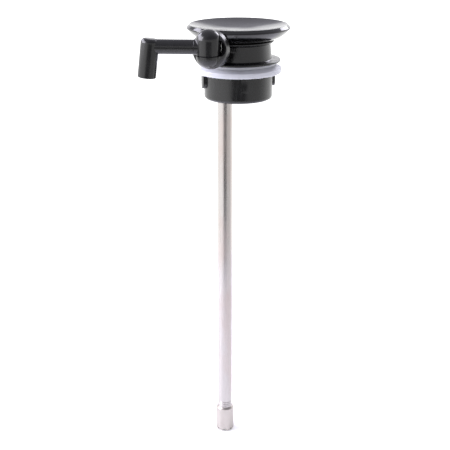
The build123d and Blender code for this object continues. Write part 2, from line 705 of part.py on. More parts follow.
PIECES = (
    pump_housing,
    retaining_ring,
    neck_gasket,
    neck_collar,
    collar_screws,
    bellows_seat,
    delivery_flap,
    flap_rivet,
    bellows_clamp,
    bellows,
    return_spring,
    outlet_elbow,
    elbow_seal,
    tube_seal,
    riser_tube,
    foot_fitting,
    foot_valve_seat,
    foot_valve_ball,
    foot_valve_pin,
    push_plate,
    guide_skirt,
    plate_screws,
    bellows_disc,
    intake_flap,
    outlet_hub,
    swivel_seals,
    hood_clip,
    swivel_hood,
    spout_arm,
    spout_outlet,
    outlet_liner,
    lock_slider,
)

os.makedirs("parts", exist_ok=True)
for piece in PIECES:
    export_step(piece(), f"parts/{piece.__name__}.step")
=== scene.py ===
"""A push-plate pump head for a vacuum flask, dressed for a studio view.

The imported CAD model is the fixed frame. Each sub-assembly below is a class that
takes its sizes from the frame's nodes and builds finer meshes for what shows.
Outlines are in millimetres, and meshes are in metres.
"""

import logging
import math
from collections.abc import Callable, Iterable, Sequence
from dataclasses import dataclass, field
from enum import Enum

import bmesh
import bpy
from mathutils import Matrix, Vector, noise


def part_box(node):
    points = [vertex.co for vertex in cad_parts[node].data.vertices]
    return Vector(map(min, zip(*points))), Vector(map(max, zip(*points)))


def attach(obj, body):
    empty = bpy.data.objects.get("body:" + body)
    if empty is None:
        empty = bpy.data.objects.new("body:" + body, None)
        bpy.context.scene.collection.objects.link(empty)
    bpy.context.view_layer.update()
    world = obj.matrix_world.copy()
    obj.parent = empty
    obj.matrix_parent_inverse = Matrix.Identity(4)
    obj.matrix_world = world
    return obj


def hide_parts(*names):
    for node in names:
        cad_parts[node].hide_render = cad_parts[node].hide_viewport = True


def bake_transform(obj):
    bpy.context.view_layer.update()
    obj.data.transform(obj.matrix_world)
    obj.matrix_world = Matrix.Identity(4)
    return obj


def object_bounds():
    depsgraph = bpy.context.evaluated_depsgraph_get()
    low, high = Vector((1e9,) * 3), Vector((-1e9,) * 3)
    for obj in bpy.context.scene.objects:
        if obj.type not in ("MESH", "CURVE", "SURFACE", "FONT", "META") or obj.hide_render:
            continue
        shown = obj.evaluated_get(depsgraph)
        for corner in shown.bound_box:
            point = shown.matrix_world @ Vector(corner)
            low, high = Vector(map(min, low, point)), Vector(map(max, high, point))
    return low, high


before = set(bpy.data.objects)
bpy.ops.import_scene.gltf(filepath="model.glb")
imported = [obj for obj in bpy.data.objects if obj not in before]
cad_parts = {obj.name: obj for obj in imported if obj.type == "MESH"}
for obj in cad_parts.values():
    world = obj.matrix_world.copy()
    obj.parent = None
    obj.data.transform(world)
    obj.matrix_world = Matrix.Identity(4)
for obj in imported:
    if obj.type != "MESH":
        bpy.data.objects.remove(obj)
CAD_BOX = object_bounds()

MM = 0.001
AXIS_REACH = 1e-4
SHARP = math.radians(38)
log = logging.getLogger("pump_head")

Point = tuple[float, float]


class Join(Enum):
    """How a second solid is combined with the first."""

    ADD = "UNION"
    CUT = "DIFFERENCE"
    KEEP_SHARED = "INTERSECT"


class Slot(Enum):
    """The record's material slots."""

    BODY = "body_black"
    GASKET = "gasket_white"
    TUBE = "steel_tube"
    FOOT = "steel_foot"
    SMALL_STEEL = "steel_small"
    SOFT_RUBBER = "rubber_soft"


class Body(Enum):
    """The frame's bodies."""

    BASE = "pump_base"
    PLUNGER = "plunger"
    SPOUT = "spout"
    LOCK = "lock"


# ---------------------------------------------------------------- measures


@dataclass(frozen=True)
class Span:
    """A CAD node's box at rest, in millimetres."""

    low: Vector
    high: Vector

    @classmethod
    def of(cls, node: str) -> "Span":
        """Reads a node's box from the frame.

        Args:
            node: The CAD node's name.

        Returns:
            Its lowest and highest corner.
        """
        low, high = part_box(node)
        return cls(low / MM, high / MM)

    @property
    def radius(self) -> float:
        """Half the width along X."""
        return (self.high.x - self.low.x) / 2

    @property
    def middle(self) -> Vector:
        """The box's centre."""
        return (self.low + self.high) / 2


@dataclass(frozen=True)
class Corner:
    """One corner of an outline, with the radius that rounds it."""

    reach: float
    height: float
    rounding: float = 0.0


def traced(corners: Sequence[Corner], steps: int = 7) -> list[Point]:
    """Follows a closed outline and rounds its corners with arcs.

    Args:
        corners: The outline's corners in order.
        steps: Stretches in each rounded corner.

    Returns:
        Points of the closed outline.
    """
    points: list[Point] = []
    count = len(corners)
    for index, corner in enumerate(corners):
        here = Vector((corner.reach, corner.height))
        before = Vector((corners[index - 1].reach, corners[index - 1].height))
        after = Vector((corners[(index + 1) % count].reach, corners[(index + 1) % count].height))
        back = before - here
        ahead = after - here
        if corner.rounding <= 0 or back.length < 1e-6 or ahead.length < 1e-6:
            points.append((here.x, here.y))
            continue
        half = back.angle(ahead) / 2
        if half > math.radians(89):
            points.append((here.x, here.y))
            continue
        reach = min(corner.rounding / math.tan(half), 0.48 * back.length, 0.48 * ahead.length)
        radius = reach * math.tan(half)
        centre = here + (back.normalized() + ahead.normalized()).normalized() * (radius / math.sin(half))
        first = here + back.normalized() * reach - centre
        last = here + ahead.normalized() * reach - centre
        sweep = math.pi - 2 * half
        turn = 1 if first.x * last.y - first.y * last.x > 0 else -1
        for step in range(steps + 1):
            angle = turn * sweep * step / steps
            spot = centre + Vector(
                (
                    first.x * math.cos(angle) - first.y * math.sin(angle),
                    first.x * math.sin(angle) + first.y * math.cos(angle),
                )
            )
            points.append((spot.x, spot.y))
    return points


# ---------------------------------------------------------------- mesh work


def as_object(name: str, made: bmesh.types.BMesh) -> bpy.types.Object:
    """Turns built geometry into an object of the scene.

    Args:
        name: The piece's name.
        made: The geometry, which is freed.

    Returns:
        The new object.
    """
    mesh = bpy.data.meshes.new(name)
    bmesh.ops.remove_doubles(made, verts=made.verts, dist=1e-7)
    bmesh.ops.recalc_face_normals(made, faces=made.faces)
    made.to_mesh(mesh)
    made.free()
    piece = bpy.data.objects.new(name, mesh)
    bpy.context.scene.collection.objects.link(piece)
    smooth(piece)
    return piece


def smooth(piece: bpy.types.Object, angle: float = SHARP) -> None:
    """Shades a piece smooth up to an angle.

    Args:
        piece: The piece.
        angle: Edges sharper than this stay sharp.
    """
    piece.data.polygons.foreach_set("use_smooth", [True] * len(piece.data.polygons))
    piece.data.set_sharp_from_angle(angle=angle)


def lathe(
    name: str,
    outline: Sequence[Point],
    place: Matrix | None = None,
    segments: int = 160,
    change: Callable[[Vector], Vector] | None = None,
) -> bpy.types.Object:
    """Turns a closed outline about Z.

    Args:
        name: The piece's name.
        outline: Closed outline of (radius, height) points in millimetres.
        place: Where the turned piece goes, in millimetres.
        segments: Divisions round the axis.
        change: Moves each point after turning and before placing.

    Returns:
        The turned piece.
    """
    made = bmesh.new()
    rows = []
    for index, (reach, height) in enumerate(outline):
        if reach < AXIS_REACH:
            level = height in (outline[index - 1][1], outline[(index + 1) % len(outline)][1])
            rows.append(None if level else [Vector((0, 0, height))])
            continue
        angles = (math.tau * step / segments for step in range(segments))
        rows.append([Vector((reach * math.cos(angle), reach * math.sin(angle), height)) for angle in angles])
    for row in filter(None, rows):
        for index, spot in enumerate(row):
            spot = change(spot) if change else spot
            row[index] = made.verts.new((place @ spot if place else spot) * MM)
    for row, after in zip(rows, rows[1:] + rows[:1]):
        if row is None and after is None:
            continue
        if row is None or after is None:
            flat = row or after
            if len(flat) > 2:
                made.faces.new(flat)
            continue
        for index in range(segments):
            ahead = (index + 1) % segments
            inner = [row[index % len(row)], row[ahead % len(row)]]
            corners = [*inner, after[ahead % len(after)], after[index % len(after)]]
            unique = list(dict.fromkeys(corners))
            if len(unique) > 2:
                made.faces.new(unique)
    return as_object(name, made)


def upright(half: float, low: float, high: float, foot: float, head: float) -> list[Corner]:
    """Corners of an upright panel about a middle line.

    Args:
        half: Half its width.
        low: Height of its foot.
        high: Height of its head.
        foot: Radius of its lower corners.
        head: Radius of its upper corners.

    Returns:
        The four corners.
    """
    return [
        Corner(-half, low, foot),
        Corner(half, low, foot),
        Corner(half, high, head),
        Corner(-half, high, head),
    ]


def prism(name: str, outline: Sequence[Point], low: float, high: float, place: Matrix) -> bpy.types.Object:
    """Raises a flat outline between two heights.

    Args:
        name: The piece's name.
        outline: Closed outline of (x, y) points in millimetres.
        low: Lower height in millimetres.
        high: Upper height in millimetres.
        place: Where the piece goes, in millimetres.

    Returns:
        The raised piece.
    """
    made = bmesh.new()
    floor = [made.verts.new((place @ Vector((x, y, low))) * MM) for x, y in outline]
    roof = [made.verts.new((place @ Vector((x, y, high))) * MM) for x, y in outline]
    made.faces.new(floor)
    made.faces.new(roof)
    for index in range(len(outline)):
        ahead = (index + 1) % len(outline)
        made.faces.new((floor[index], floor[ahead], roof[ahead], roof[index]))
    return as_object(name, made)


def rod(name: str, radius: float, low: float, high: float, place: Matrix | None = None) -> bpy.types.Object:
    """A round bar about Z, used to cut or add.

    Args:
        name: The piece's name.
        radius: Its radius in millimetres.
        low: Lower end in millimetres.
        high: Upper end in millimetres.
        place: Where it goes, in millimetres.

    Returns:
        The bar.
    """
    return lathe(name, [(0, low), (radius, low), (radius, high), (0, high)], place, segments=96)


def bake_modifiers(piece: bpy.types.Object) -> None:
    """Replaces a piece's mesh with what its modifiers make of it.

    Args:
        piece: The piece.
    """
    graph = bpy.context.evaluated_depsgraph_get()
    graph.update()
    mesh = bpy.data.meshes.new_from_object(piece.evaluated_get(graph))
    piece.modifiers.clear()
    piece.data = mesh


def weld(piece: bpy.types.Object) -> None:
    """Joins points under two microns apart, which a boolean can leave along its cut."""
    made = bmesh.new()
    made.from_mesh(piece.data)
    bmesh.ops.remove_doubles(made, verts=made.verts, dist=0.002 * MM)
    made.to_mesh(piece.data)
    made.free()


def combine(piece: bpy.types.Object, other: bpy.types.Object, how: Join) -> bpy.types.Object:
    """Combines two closed solids and removes the second.

    Args:
        piece: The solid that stays.
        other: The solid that is used up.
        how: Add, cut or keep what they share.

    Returns:
        The first piece, changed.
    """
    modifier = piece.modifiers.new("join", "BOOLEAN")
    modifier.operation = how.value
    modifier.solver = "EXACT"
    modifier.object = other
    bake_modifiers(piece)
    bpy.data.objects.remove(other)
    weld(piece)
    return piece


def soften(piece: bpy.types.Object, width: float, segments: int = 3) -> bpy.types.Object:
    """Rounds a piece's sharp edges.

    Args:
        piece: The piece.
        width: Width of the rounding in millimetres.
        segments: Strips across the rounding.

    Returns:
        The piece.
    """
    modifier = piece.modifiers.new("round", "BEVEL")
    modifier.width = width * MM
    modifier.segments = segments
    modifier.limit_method = "ANGLE"
    modifier.angle_limit = SHARP
    modifier.harden_normals = False
    bake_modifiers(piece)
    smooth(piece)
    return piece


def seat(
    piece: bpy.types.Object,
    finish: "Finish",
    body: Body,
    replaced: Iterable[str] = (),
) -> bpy.types.Object:
    """Dresses a piece, sets it on its body and reports it.

    Args:
        piece: The piece.
        finish: Its finish.
        body: The body that it moves with.
        replaced: CAD nodes that it stands for.

    Returns:
        The piece.
    """
    piece.data.materials.clear()
    piece.data.materials.append(finish.material())
    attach(piece, body.value)
    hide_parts(*replaced)
    log.info("%s: %d faces, %s", piece.name, len(piece.data.polygons), finish.name)
    return piece


def about(x: float, y: float, z: float = 0.0) -> Matrix:
    """A shift, in millimetres."""
    return Matrix.Translation((x, y, z))


def aimed(origin: Vector, along: Vector) -> Matrix:
    """A frame whose Z points along a direction.

    Args:
        origin: The frame's origin in millimetres.
        along: The direction of its Z.

    Returns:
        The frame.
    """
    return Matrix.Translation(origin) @ along.to_track_quat("Z", "Y").to_matrix().to_4x4()


# ---------------------------------------------------------------- finishes


def srgb(code: str) -> tuple[float, float, float, float]:
    """Turns an sRGB hex value to linear light.

    Args:
        code: Six hex digits.

    Returns:
        Red, green, blue and 1.
    """
    channels = [int(code[index : index + 2], 16) / 255 for index in (0, 2, 4)]
    linear = [c / 12.92 if c <= 0.04045 else ((c + 0.055) / 1.055) ** 2.4 for c in channels]
    return (*linear, 1.0)


def per(size: float) -> float:
    """A texture scale, in metres, for a pattern of this size in millimetres."""
    return 1000 / size


def add_node(
    tree: bpy.types.NodeTree,
    kind: str,
    settings: dict[str, object] | None = None,
    values: dict[str | int, object] | None = None,
    links: dict[str | int, bpy.types.NodeSocket] | None = None,
) -> bpy.types.Node:
    """Adds one node to a tree.

    Args:
        tree: The node tree.
        kind: The node's type without its ShaderNode prefix.
        settings: The node's own settings.
        values: Values of its input sockets.
        links: Sockets that feed its inputs.

    Returns:
        The node.
    """
    node = tree.nodes.new("ShaderNode" + kind)
    for name, value in (settings or {}).items():
        setattr(node, name, value)
    for name, value in (values or {}).items():
        node.inputs[name].default_value = value
    for name, source in (links or {}).items():
        tree.links.new(source, node.inputs[name])
    return node


@dataclass(frozen=True)
class Finish:
    """What every finish has: a name, a colour and a way to start its tree."""

    name: str
    colour: str

    def material(self) -> bpy.types.Material:
        """Returns the finish's material, made once."""
        found = bpy.data.materials.get(self.name)
        if found:
            return found
        material = bpy.data.materials.new(self.name)
        material.use_nodes = True
        tree = material.node_tree
        tree.nodes.clear()
        shader = add_node(tree, "BsdfPrincipled", values={"Base Color": srgb(self.colour)})
        add_node(tree, "OutputMaterial", links={"Surface": shader.outputs[0]})
        coords = add_node(tree, "TexCoord").outputs["Object"]
        self.paint(tree, shader, coords)
        return material

    def paint(
        self,
        tree: bpy.types.NodeTree,
        shader: bpy.types.Node,
        coords: bpy.types.NodeSocket,
    ) -> None:
        """Adds the finish's own nodes.

        Args:
            tree: The material's node tree.
            shader: Its surface shader.
            coords: Object coordinates in metres.
        """
        raise NotImplementedError

    def cloud(
        self,
        tree: bpy.types.NodeTree,
        coords: bpy.types.NodeSocket,
        size: float,
        stretch: Point = (1.0, 1.0),
        detail: float = 3.0,
    ) -> bpy.types.NodeSocket:
        """A noise pattern of a real size.

        Args:
            tree: The material's node tree.
            coords: Coordinates in metres.
            size: Size of its patches in millimetres.
            stretch: Factors for X and Y, and for Z.
            detail: Layers of finer noise.

        Returns:
            The pattern's value socket.
        """
        across, upright = stretch
        mapped = add_node(
            tree,
            "Mapping",
            values={"Scale": (across, across, upright)},
            links={"Vector": coords},
        )
        return add_node(
            tree,
            "TexNoise",
            values={"Scale": per(size), "Detail": detail, "Roughness": 0.55},
            links={"Vector": mapped.outputs[0]},
        ).outputs[0]

    def between(
        self,
        tree: bpy.types.NodeTree,
        value: bpy.types.NodeSocket,
        low: float,
        high: float,
        start: float = 0.3,
        stop: float = 0.7,
    ) -> bpy.types.NodeSocket:
        """Spreads a pattern between two values.

        Args:
            tree: The material's node tree.
            value: The pattern.
            low: Value where the pattern is at or under start.
            high: Value where the pattern is at or over stop.
            start: Where the spread starts.
            stop: Where the spread stops.

        Returns:
            The spread value's socket.
        """
        return add_node(
            tree,
            "MapRange",
            values={"From Min": start, "From Max": stop, "To Min": low, "To Max": high},
            links={"Value": value},
        ).outputs[0]

    def tint(
        self,
        tree: bpy.types.NodeTree,
        shader: bpy.types.Node,
        factor: bpy.types.NodeSocket,
        other: str,
    ) -> None:
        """Mixes the base colour towards another one.

        Args:
            tree: The material's node tree.
            shader: The surface shader.
            factor: Share of the other colour.
            other: The other colour's hex digits.
        """
        mixed = add_node(
            tree,
            "Mix",
            settings={"data_type": "RGBA"},
            values={6: srgb(self.colour), 7: srgb(other)},
            links={0: factor},
        )
        tree.links.new(mixed.outputs[2], shader.inputs["Base Color"])


@dataclass(frozen=True)
class MouldedPlastic(Finish):
    """Injection-moulded plastic: flow ripples, orange peel, hairline rubs and specks of dust."""

    dust: str = "3a3a40"
    ior: float = 1.53
    roughness: Point = (0.10, 0.2)
    flow: float = 14.0
    flow_depth: float = 0.02
    peel: float = 0.9
    peel_depth: float = 0.0012

    def paint(
        self,
        tree: bpy.types.NodeTree,
        shader: bpy.types.Node,
        coords: bpy.types.NodeSocket,
    ) -> None:
        """Adds colour flecks, uneven gloss and two scales of bump."""
        shader.inputs["IOR"].default_value = self.ior
        specks = add_node(
            tree,
            "TexVoronoi",
            values={"Scale": per(2.4), "Randomness": 1.0},
            links={"Vector": coords},
        ).outputs["Distance"]
        patchy = self.cloud(tree, coords, 9.0)
        dusty = self.between(tree, specks, 0.5, 0.0, 0.03, 0.07)
        settled = add_node(
            tree,
            "Math",
            settings={"operation": "MULTIPLY"},
            links={0: dusty, 1: self.between(tree, patchy, 0.0, 1.0, 0.5, 0.62)},
        ).outputs[0]
        self.tint(tree, shader, settled, self.dust)
        wiped = self.between(tree, self.cloud(tree, coords, 6.0, (1.0, 0.45)), *self.roughness)
        hairline = self.cloud(tree, coords, 1.1, (1.0, 0.06), 2.0)
        rubbed = self.between(tree, hairline, 0.0, 0.07, 0.6, 0.68)
        rough = add_node(
            tree,
            "Math",
            settings={"operation": "ADD"},
            links={0: wiped, 1: rubbed},
        ).outputs[0]
        tree.links.new(rough, shader.inputs["Roughness"])
        flow = add_node(
            tree,
            "Bump",
            values={"Strength": 1.0, "Distance": self.flow_depth * MM},
            links={"Height": self.cloud(tree, coords, self.flow, detail=1.0)},
        )
        peel = add_node(
            tree,
            "Bump",
            values={"Strength": 1.0, "Distance": self.peel_depth * MM},
            links={"Height": self.cloud(tree, coords, self.peel), "Normal": flow.outputs[0]},
        )
        tree.links.new(peel.outputs[0], shader.inputs["Normal"])


@dataclass(frozen=True)
class MouldedRubber(Finish):
    """Moulded rubber or silicone: soft sheen, faint mottling and a fine matt skin."""

    shade: str = "c9cbd6"
    ior: float = 1.41
    roughness: Point = (0.34, 0.5)
    glow: float = 0.25
    lit: float = 0.0

    def paint(
        self,
        tree: bpy.types.NodeTree,
        shader: bpy.types.Node,
        coords: bpy.types.NodeSocket,
    ) -> None:
        """Adds mottling, a soft glow under the skin and a fine bump."""
        shader.inputs["IOR"].default_value = self.ior
        shader.inputs["Subsurface Weight"].default_value = self.glow
        shader.inputs["Subsurface Radius"].default_value = (1.0, 0.9, 0.85)
        shader.inputs["Subsurface Scale"].default_value = 1.5 * MM
        shader.inputs["Emission Color"].default_value = srgb(self.colour)
        shader.inputs["Emission Strength"].default_value = self.lit
        mottled = self.cloud(tree, coords, 4.5)
        self.tint(tree, shader, self.between(tree, mottled, 0.0, 0.5), self.shade)
        tree.links.new(
            self.between(tree, self.cloud(tree, coords, 2.0), *self.roughness),
            shader.inputs["Roughness"],
        )
        skin = add_node(
            tree,
            "Bump",
            values={"Strength": 1.0, "Distance": 0.004 * MM},
            links={"Height": self.cloud(tree, coords, 0.7)},
        )
        tree.links.new(skin.outputs[0], shader.inputs["Normal"])


@dataclass(frozen=True)
class WorkedMetal(Finish):
    """Metal with the lines of its making, drawn along Z or turned about it."""

    stain: str = "b8a8a2"
    roughness: Point = (0.2, 0.32)
    line: float = 0.5
    stretch: Point = (1.0, 0.01)
    line_depth: float = 0.0012
    pull: float = 0.4

    def paint(
        self,
        tree: bpy.types.NodeTree,
        shader: bpy.types.Node,
        coords: bpy.types.NodeSocket,
    ) -> None:
        """Adds working lines in the bump and gloss, and faint stains in the colour."""
        shader.inputs["Metallic"].default_value = 1.0
        shader.inputs["Anisotropic"].default_value = self.pull
        tangent = add_node(tree, "Tangent", settings={"direction_type": "RADIAL", "axis": "Z"})
        tree.links.new(tangent.outputs[0], shader.inputs["Tangent"])
        lines = self.cloud(tree, coords, self.line, self.stretch, 4.0)
        blotches = self.cloud(tree, coords, 16.0, (1.0, 0.35))
        self.tint(tree, shader, self.between(tree, blotches, 0.0, 0.55, 0.42, 0.66), self.stain)
        handled = self.between(tree, blotches, 0.0, 0.05, 0.45, 0.6)
        grain = self.between(tree, lines, *self.roughness)
        rough = add_node(
            tree,
            "Math",
            settings={"operation": "ADD"},
            links={0: grain, 1: handled},
        ).outputs[0]
        tree.links.new(rough, shader.inputs["Roughness"])
        bump = add_node(
            tree,
            "Bump",
            values={"Strength": 1.0, "Distance": self.line_depth * MM},
            links={"Height": lines},
        )
        tree.links.new(bump.outputs[0], shader.inputs["Normal"])


# Polished black ABS from a polished tool: deep gloss, faint flow ripples, few rubs.
GLOSS_ABS = MouldedPlastic("black_abs_gloss_moulded", "08080a", roughness=(0.2, 0.3))
# The same resin on the palm plate, which hands have dulled a little.
PLATE_ABS = MouldedPlastic(
    "black_abs_hand_worn", "08080a", roughness=(0.07, 0.16), flow=22.0, flow_depth=0.05
)
# Unpolished black polypropylene inside the pump: grey sheen with no clear reflection.
SATIN_PP = MouldedPlastic(
    "black_polypropylene_satin", "131315", ior=1.49, roughness=(0.38, 0.5), flow_depth=0.01, peel_depth=0.006
)
# Platinum-cured white silicone: milky, cool white, with a soft edge where light enters.
WHITE_SILICONE = MouldedRubber("white_silicone_moulded", "cccdd6", shade="c4c6cf")
# Translucent grey silicone of the bellows and flaps.
GREY_SILICONE = MouldedRubber("grey_silicone_moulded", "a9abb0", shade="8d9096")
# Nitrile O-rings: black with a dull sheen.
NITRILE = MouldedRubber("nitrile_rubber_moulded", "141414", shade="1f1f1f", ior=1.52, glow=0.0)
# Drawn and belt-finished stainless tube: soft bands along its length, with fine lengthwise
# lines, drawn about three times as coarse as they are so that they show.
DRAWN_STEEL = WorkedMetal("stainless_steel_drawn", "b8b4b2")
# Turned stainless foot: fine rings about its axis.
TURNED_STEEL = WorkedMetal(
    "stainless_steel_turned", "b9b3ae", stain="8f857e", roughness=(0.26, 0.4), line=0.6, stretch=(0.02, 1.0)
)
# Bright-finished stainless screws, spring and ball.
BRIGHT_STEEL = WorkedMetal("stainless_steel_bright", "d0cecb", roughness=(0.14, 0.24), pull=0.0)


# Opal acrylic of a shooting table: even, slightly glowing white.
OPAL_ACRYLIC = MouldedRubber("opal_acrylic_table", "f4f4f6", shade="f0f0f4", ior=1.49, glow=0.0, lit=0.3)
# Uncoated charcoal card: dull and dark.
CHARCOAL_CARD = MouldedRubber("charcoal_card", "585858", shade="505050", roughness=(0.8, 0.9), glow=0.0)


# ---------------------------------------------------------------- pump head


@dataclass
class PushPlate:
    """Dished palm plate with a rolled rim over a bowl-shaped underside."""

    span: Span = field(default_factory=lambda: Span.of("push_plate"))
    rim_inset: float = 2.6
    lip_drop: float = 2.6
    dish_depth: float = 5.05
    floor: float = 2.6
    foot_radius: float = 28.4
    foot_inner: float = 26.0
    warp: float = 0.12

    def dish_outline(self) -> list[Point]:
        """Points of the dish's spherical floor, from its edge to its centre."""
        edge = self.span.radius - self.rim_inset - 0.7
        top = self.span.high.z - 0.25
        sphere = (edge**2 + self.dish_depth**2) / (2 * self.dish_depth)
        base = top - self.dish_depth + sphere
        steps = 40
        return [
            (edge * (1 - step / steps), base - math.sqrt(sphere**2 - (edge * (1 - step / steps)) ** 2))
            for step in range(steps + 1)
        ]

    def bowl_outline(self) -> list[Point]:
        """Points of the underside's curve, from the foot to the lip."""
        low = Vector((self.foot_radius, self.span.low.z))
        high = Vector((self.span.radius - 0.3, self.span.high.z - self.lip_drop - 0.7))
        steps = 24
        points = []
        for step in range(steps + 1):
            share = step / steps
            spot = low.lerp(high, share)
            belly = math.sin(math.pi * share) * 1.15
            points.append((spot.x + belly * 0.55, spot.y - belly * 0.85))
        return points

    def warped(self, spot: Vector) -> Vector:
        """Lets the dish sink a little unevenly, as a moulding of this thickness does."""
        reach = math.hypot(spot.x, spot.y)
        edge = self.span.radius - self.rim_inset - 3.0
        if reach < edge and spot.z > self.span.high.z - self.dish_depth - 1:
            share = 1 - (reach / edge) ** 2
            spot.z += self.warp * share * 2 * noise.noise(spot * 0.055 + Vector((3.1, 7.7, 0)))
        return spot

    def build(self) -> None:
        """Builds the plate and sets it on the plunger."""
        radius = self.span.radius
        top = self.span.high.z
        lip = top - self.lip_drop
        rim = [
            Corner(radius, lip - 0.3, 0.5),
            Corner(radius - 0.25, lip + 0.6, 0.5),
            Corner(radius - self.rim_inset + 0.3, top, 0.45),
        ]
        foot = [
            Corner(self.foot_inner, top - self.dish_depth - 0.25 - self.floor, 0.4),
            Corner(self.foot_inner, self.span.low.z, 0.3),
        ]
        middle = (0.0, top - self.dish_depth - 0.25 - self.floor)
        dish = self.dish_outline()
        rounded_rim = self.rounded(rim, self.bowl_outline()[-1], dish[0])
        rounded_foot = self.rounded(foot, middle, self.bowl_outline()[0])
        outline = self.bowl_outline() + rounded_rim + dish + [middle] + rounded_foot
        plate = lathe("push_plate_shell", outline, segments=224, change=self.warped)
        seat(plate, PLATE_ABS, Body.PLUNGER, ["push_plate"])

    def rounded(self, corners: list[Corner], before: Point, after: Point) -> list[Point]:
        """Rounds an open run of corners between two fixed points.

        Args:
            corners: The run's corners.
            before: The point before the run.
            after: The point after the run.

        Returns:
            The run's points.
        """
        closed = traced([Corner(*before), *corners, Corner(*after)])
        return closed[1:-1]


@dataclass
class Housing:
    """Housing with its thin flange, and the ring on top of it."""

    span: Span = field(default_factory=lambda: Span.of("pump_housing"))
    ring: Span = field(default_factory=lambda: Span.of("retaining_ring"))
    bore: float = 23.9
    sleeve: float = 25.9
    head_radius: float = 25.95
    foot_radius: float = 26.95
    flange_low: float = 8.9
    flange_high: float = 10.8
    neck_height: float = 17.0
    boss_radius: float = 5.5
    boss_face: float = 27.2
    pipe_hole: float = 4.3

    def build(self) -> None:
        """Builds the housing and its ring."""
        top = self.span.high.z
        radius = self.span.radius
        outline = traced(
            [
                Corner(self.bore, self.span.low.z, 0.4),
                Corner(self.sleeve, self.span.low.z, 0.4),
                Corner(self.sleeve, self.flange_low, 0.3),
                Corner(radius, self.flange_low, 0.8),
                Corner(radius, self.flange_high, 0.7),
                Corner(self.foot_radius, self.flange_high, 1.2),
                Corner(self.head_radius, top, 0.25),
                Corner(self.bore, top, 0.3),
            ]
        )
        housing = lathe("housing_shell", outline, segments=224)
        outward = aimed(Vector((0, 0, self.neck_height)), Vector((0, -1, 0)))
        boss = rod("boss", self.boss_radius, self.bore + 0.6, self.boss_face, outward)
        combine(housing, boss, Join.ADD)
        combine(housing, rod("hole", self.pipe_hole, self.bore - 3, self.boss_face + 1, outward), Join.CUT)
        self.cut_lock_slot(housing)
        smooth(housing)
        seat(housing, GLOSS_ABS, Body.BASE, ["pump_housing"])
        self.build_ring()

    def cut_lock_slot(self, housing: bpy.types.Object) -> None:
        """Cuts the slot that the lock slider runs in.

        Args:
            housing: The housing's mesh.
        """
        lock = LockSlider()
        place = lock.place(self.bore - 1, lock.stem_shift + lock.travel / 2)
        half = (lock.stem_width + lock.travel + 0.4) / 2
        tall = lock.stem_height / 2 + 0.2
        corners = upright(half, -tall, tall, lock.slot_round, lock.slot_round)
        combine(housing, prism("slot", traced(corners), 0, self.foot_radius - self.bore + 3, place), Join.CUT)

    def build_ring(self) -> None:
        """Builds the flared ring on top of the housing."""
        low = self.ring.low.z
        high = self.ring.high.z
        lip = self.ring.radius
        outline = traced(
            [
                Corner(23.0, low, 0.2),
                Corner(self.head_radius + 0.7, low, 0.3),
                Corner(lip - 0.2, high - 1.1, 0.6),
                Corner(lip, high, 0.45),
                Corner(23.0, high, 0.3),
            ]
        )
        seat(
            lathe("retaining_ring_shell", outline, segments=224),
            GLOSS_ABS,
            Body.BASE,
            ["retaining_ring"],
        )


@dataclass
class NeckSeal:
    """White gasket between the flange and the collar."""

    span: Span = field(default_factory=lambda: Span.of("neck_gasket"))
    inner: float = 26.1
    land: float = 30.4
    recess: float = 0.5
    waist: float = 29.6
    rim: float = 4.0

    def build(self) -> None:
        """Builds the gasket with its bevel and waist."""
        high = self.span.high.z
        radius = self.span.radius
        outline = traced(
            [
                Corner(self.inner, self.recess, 0.1),
                Corner(self.land - 0.2, self.recess, 0.2),
                Corner(self.land, 0.0, 0.2),
                Corner(radius - 0.15, 0.0, 0.7),
                Corner(radius, self.rim * 0.5, 0.2),
                Corner(radius - 0.15, self.rim, 0.7),
                Corner(self.waist, self.rim + 2.5, 0.8),
                Corner(self.waist, high, 0.2),
                Corner(self.inner, high, 0.3),
            ]
        )
        gasket = lathe("neck_gasket_moulding", outline, segments=224)
        seat(gasket, WHITE_SILICONE, Body.BASE, ["neck_gasket"])


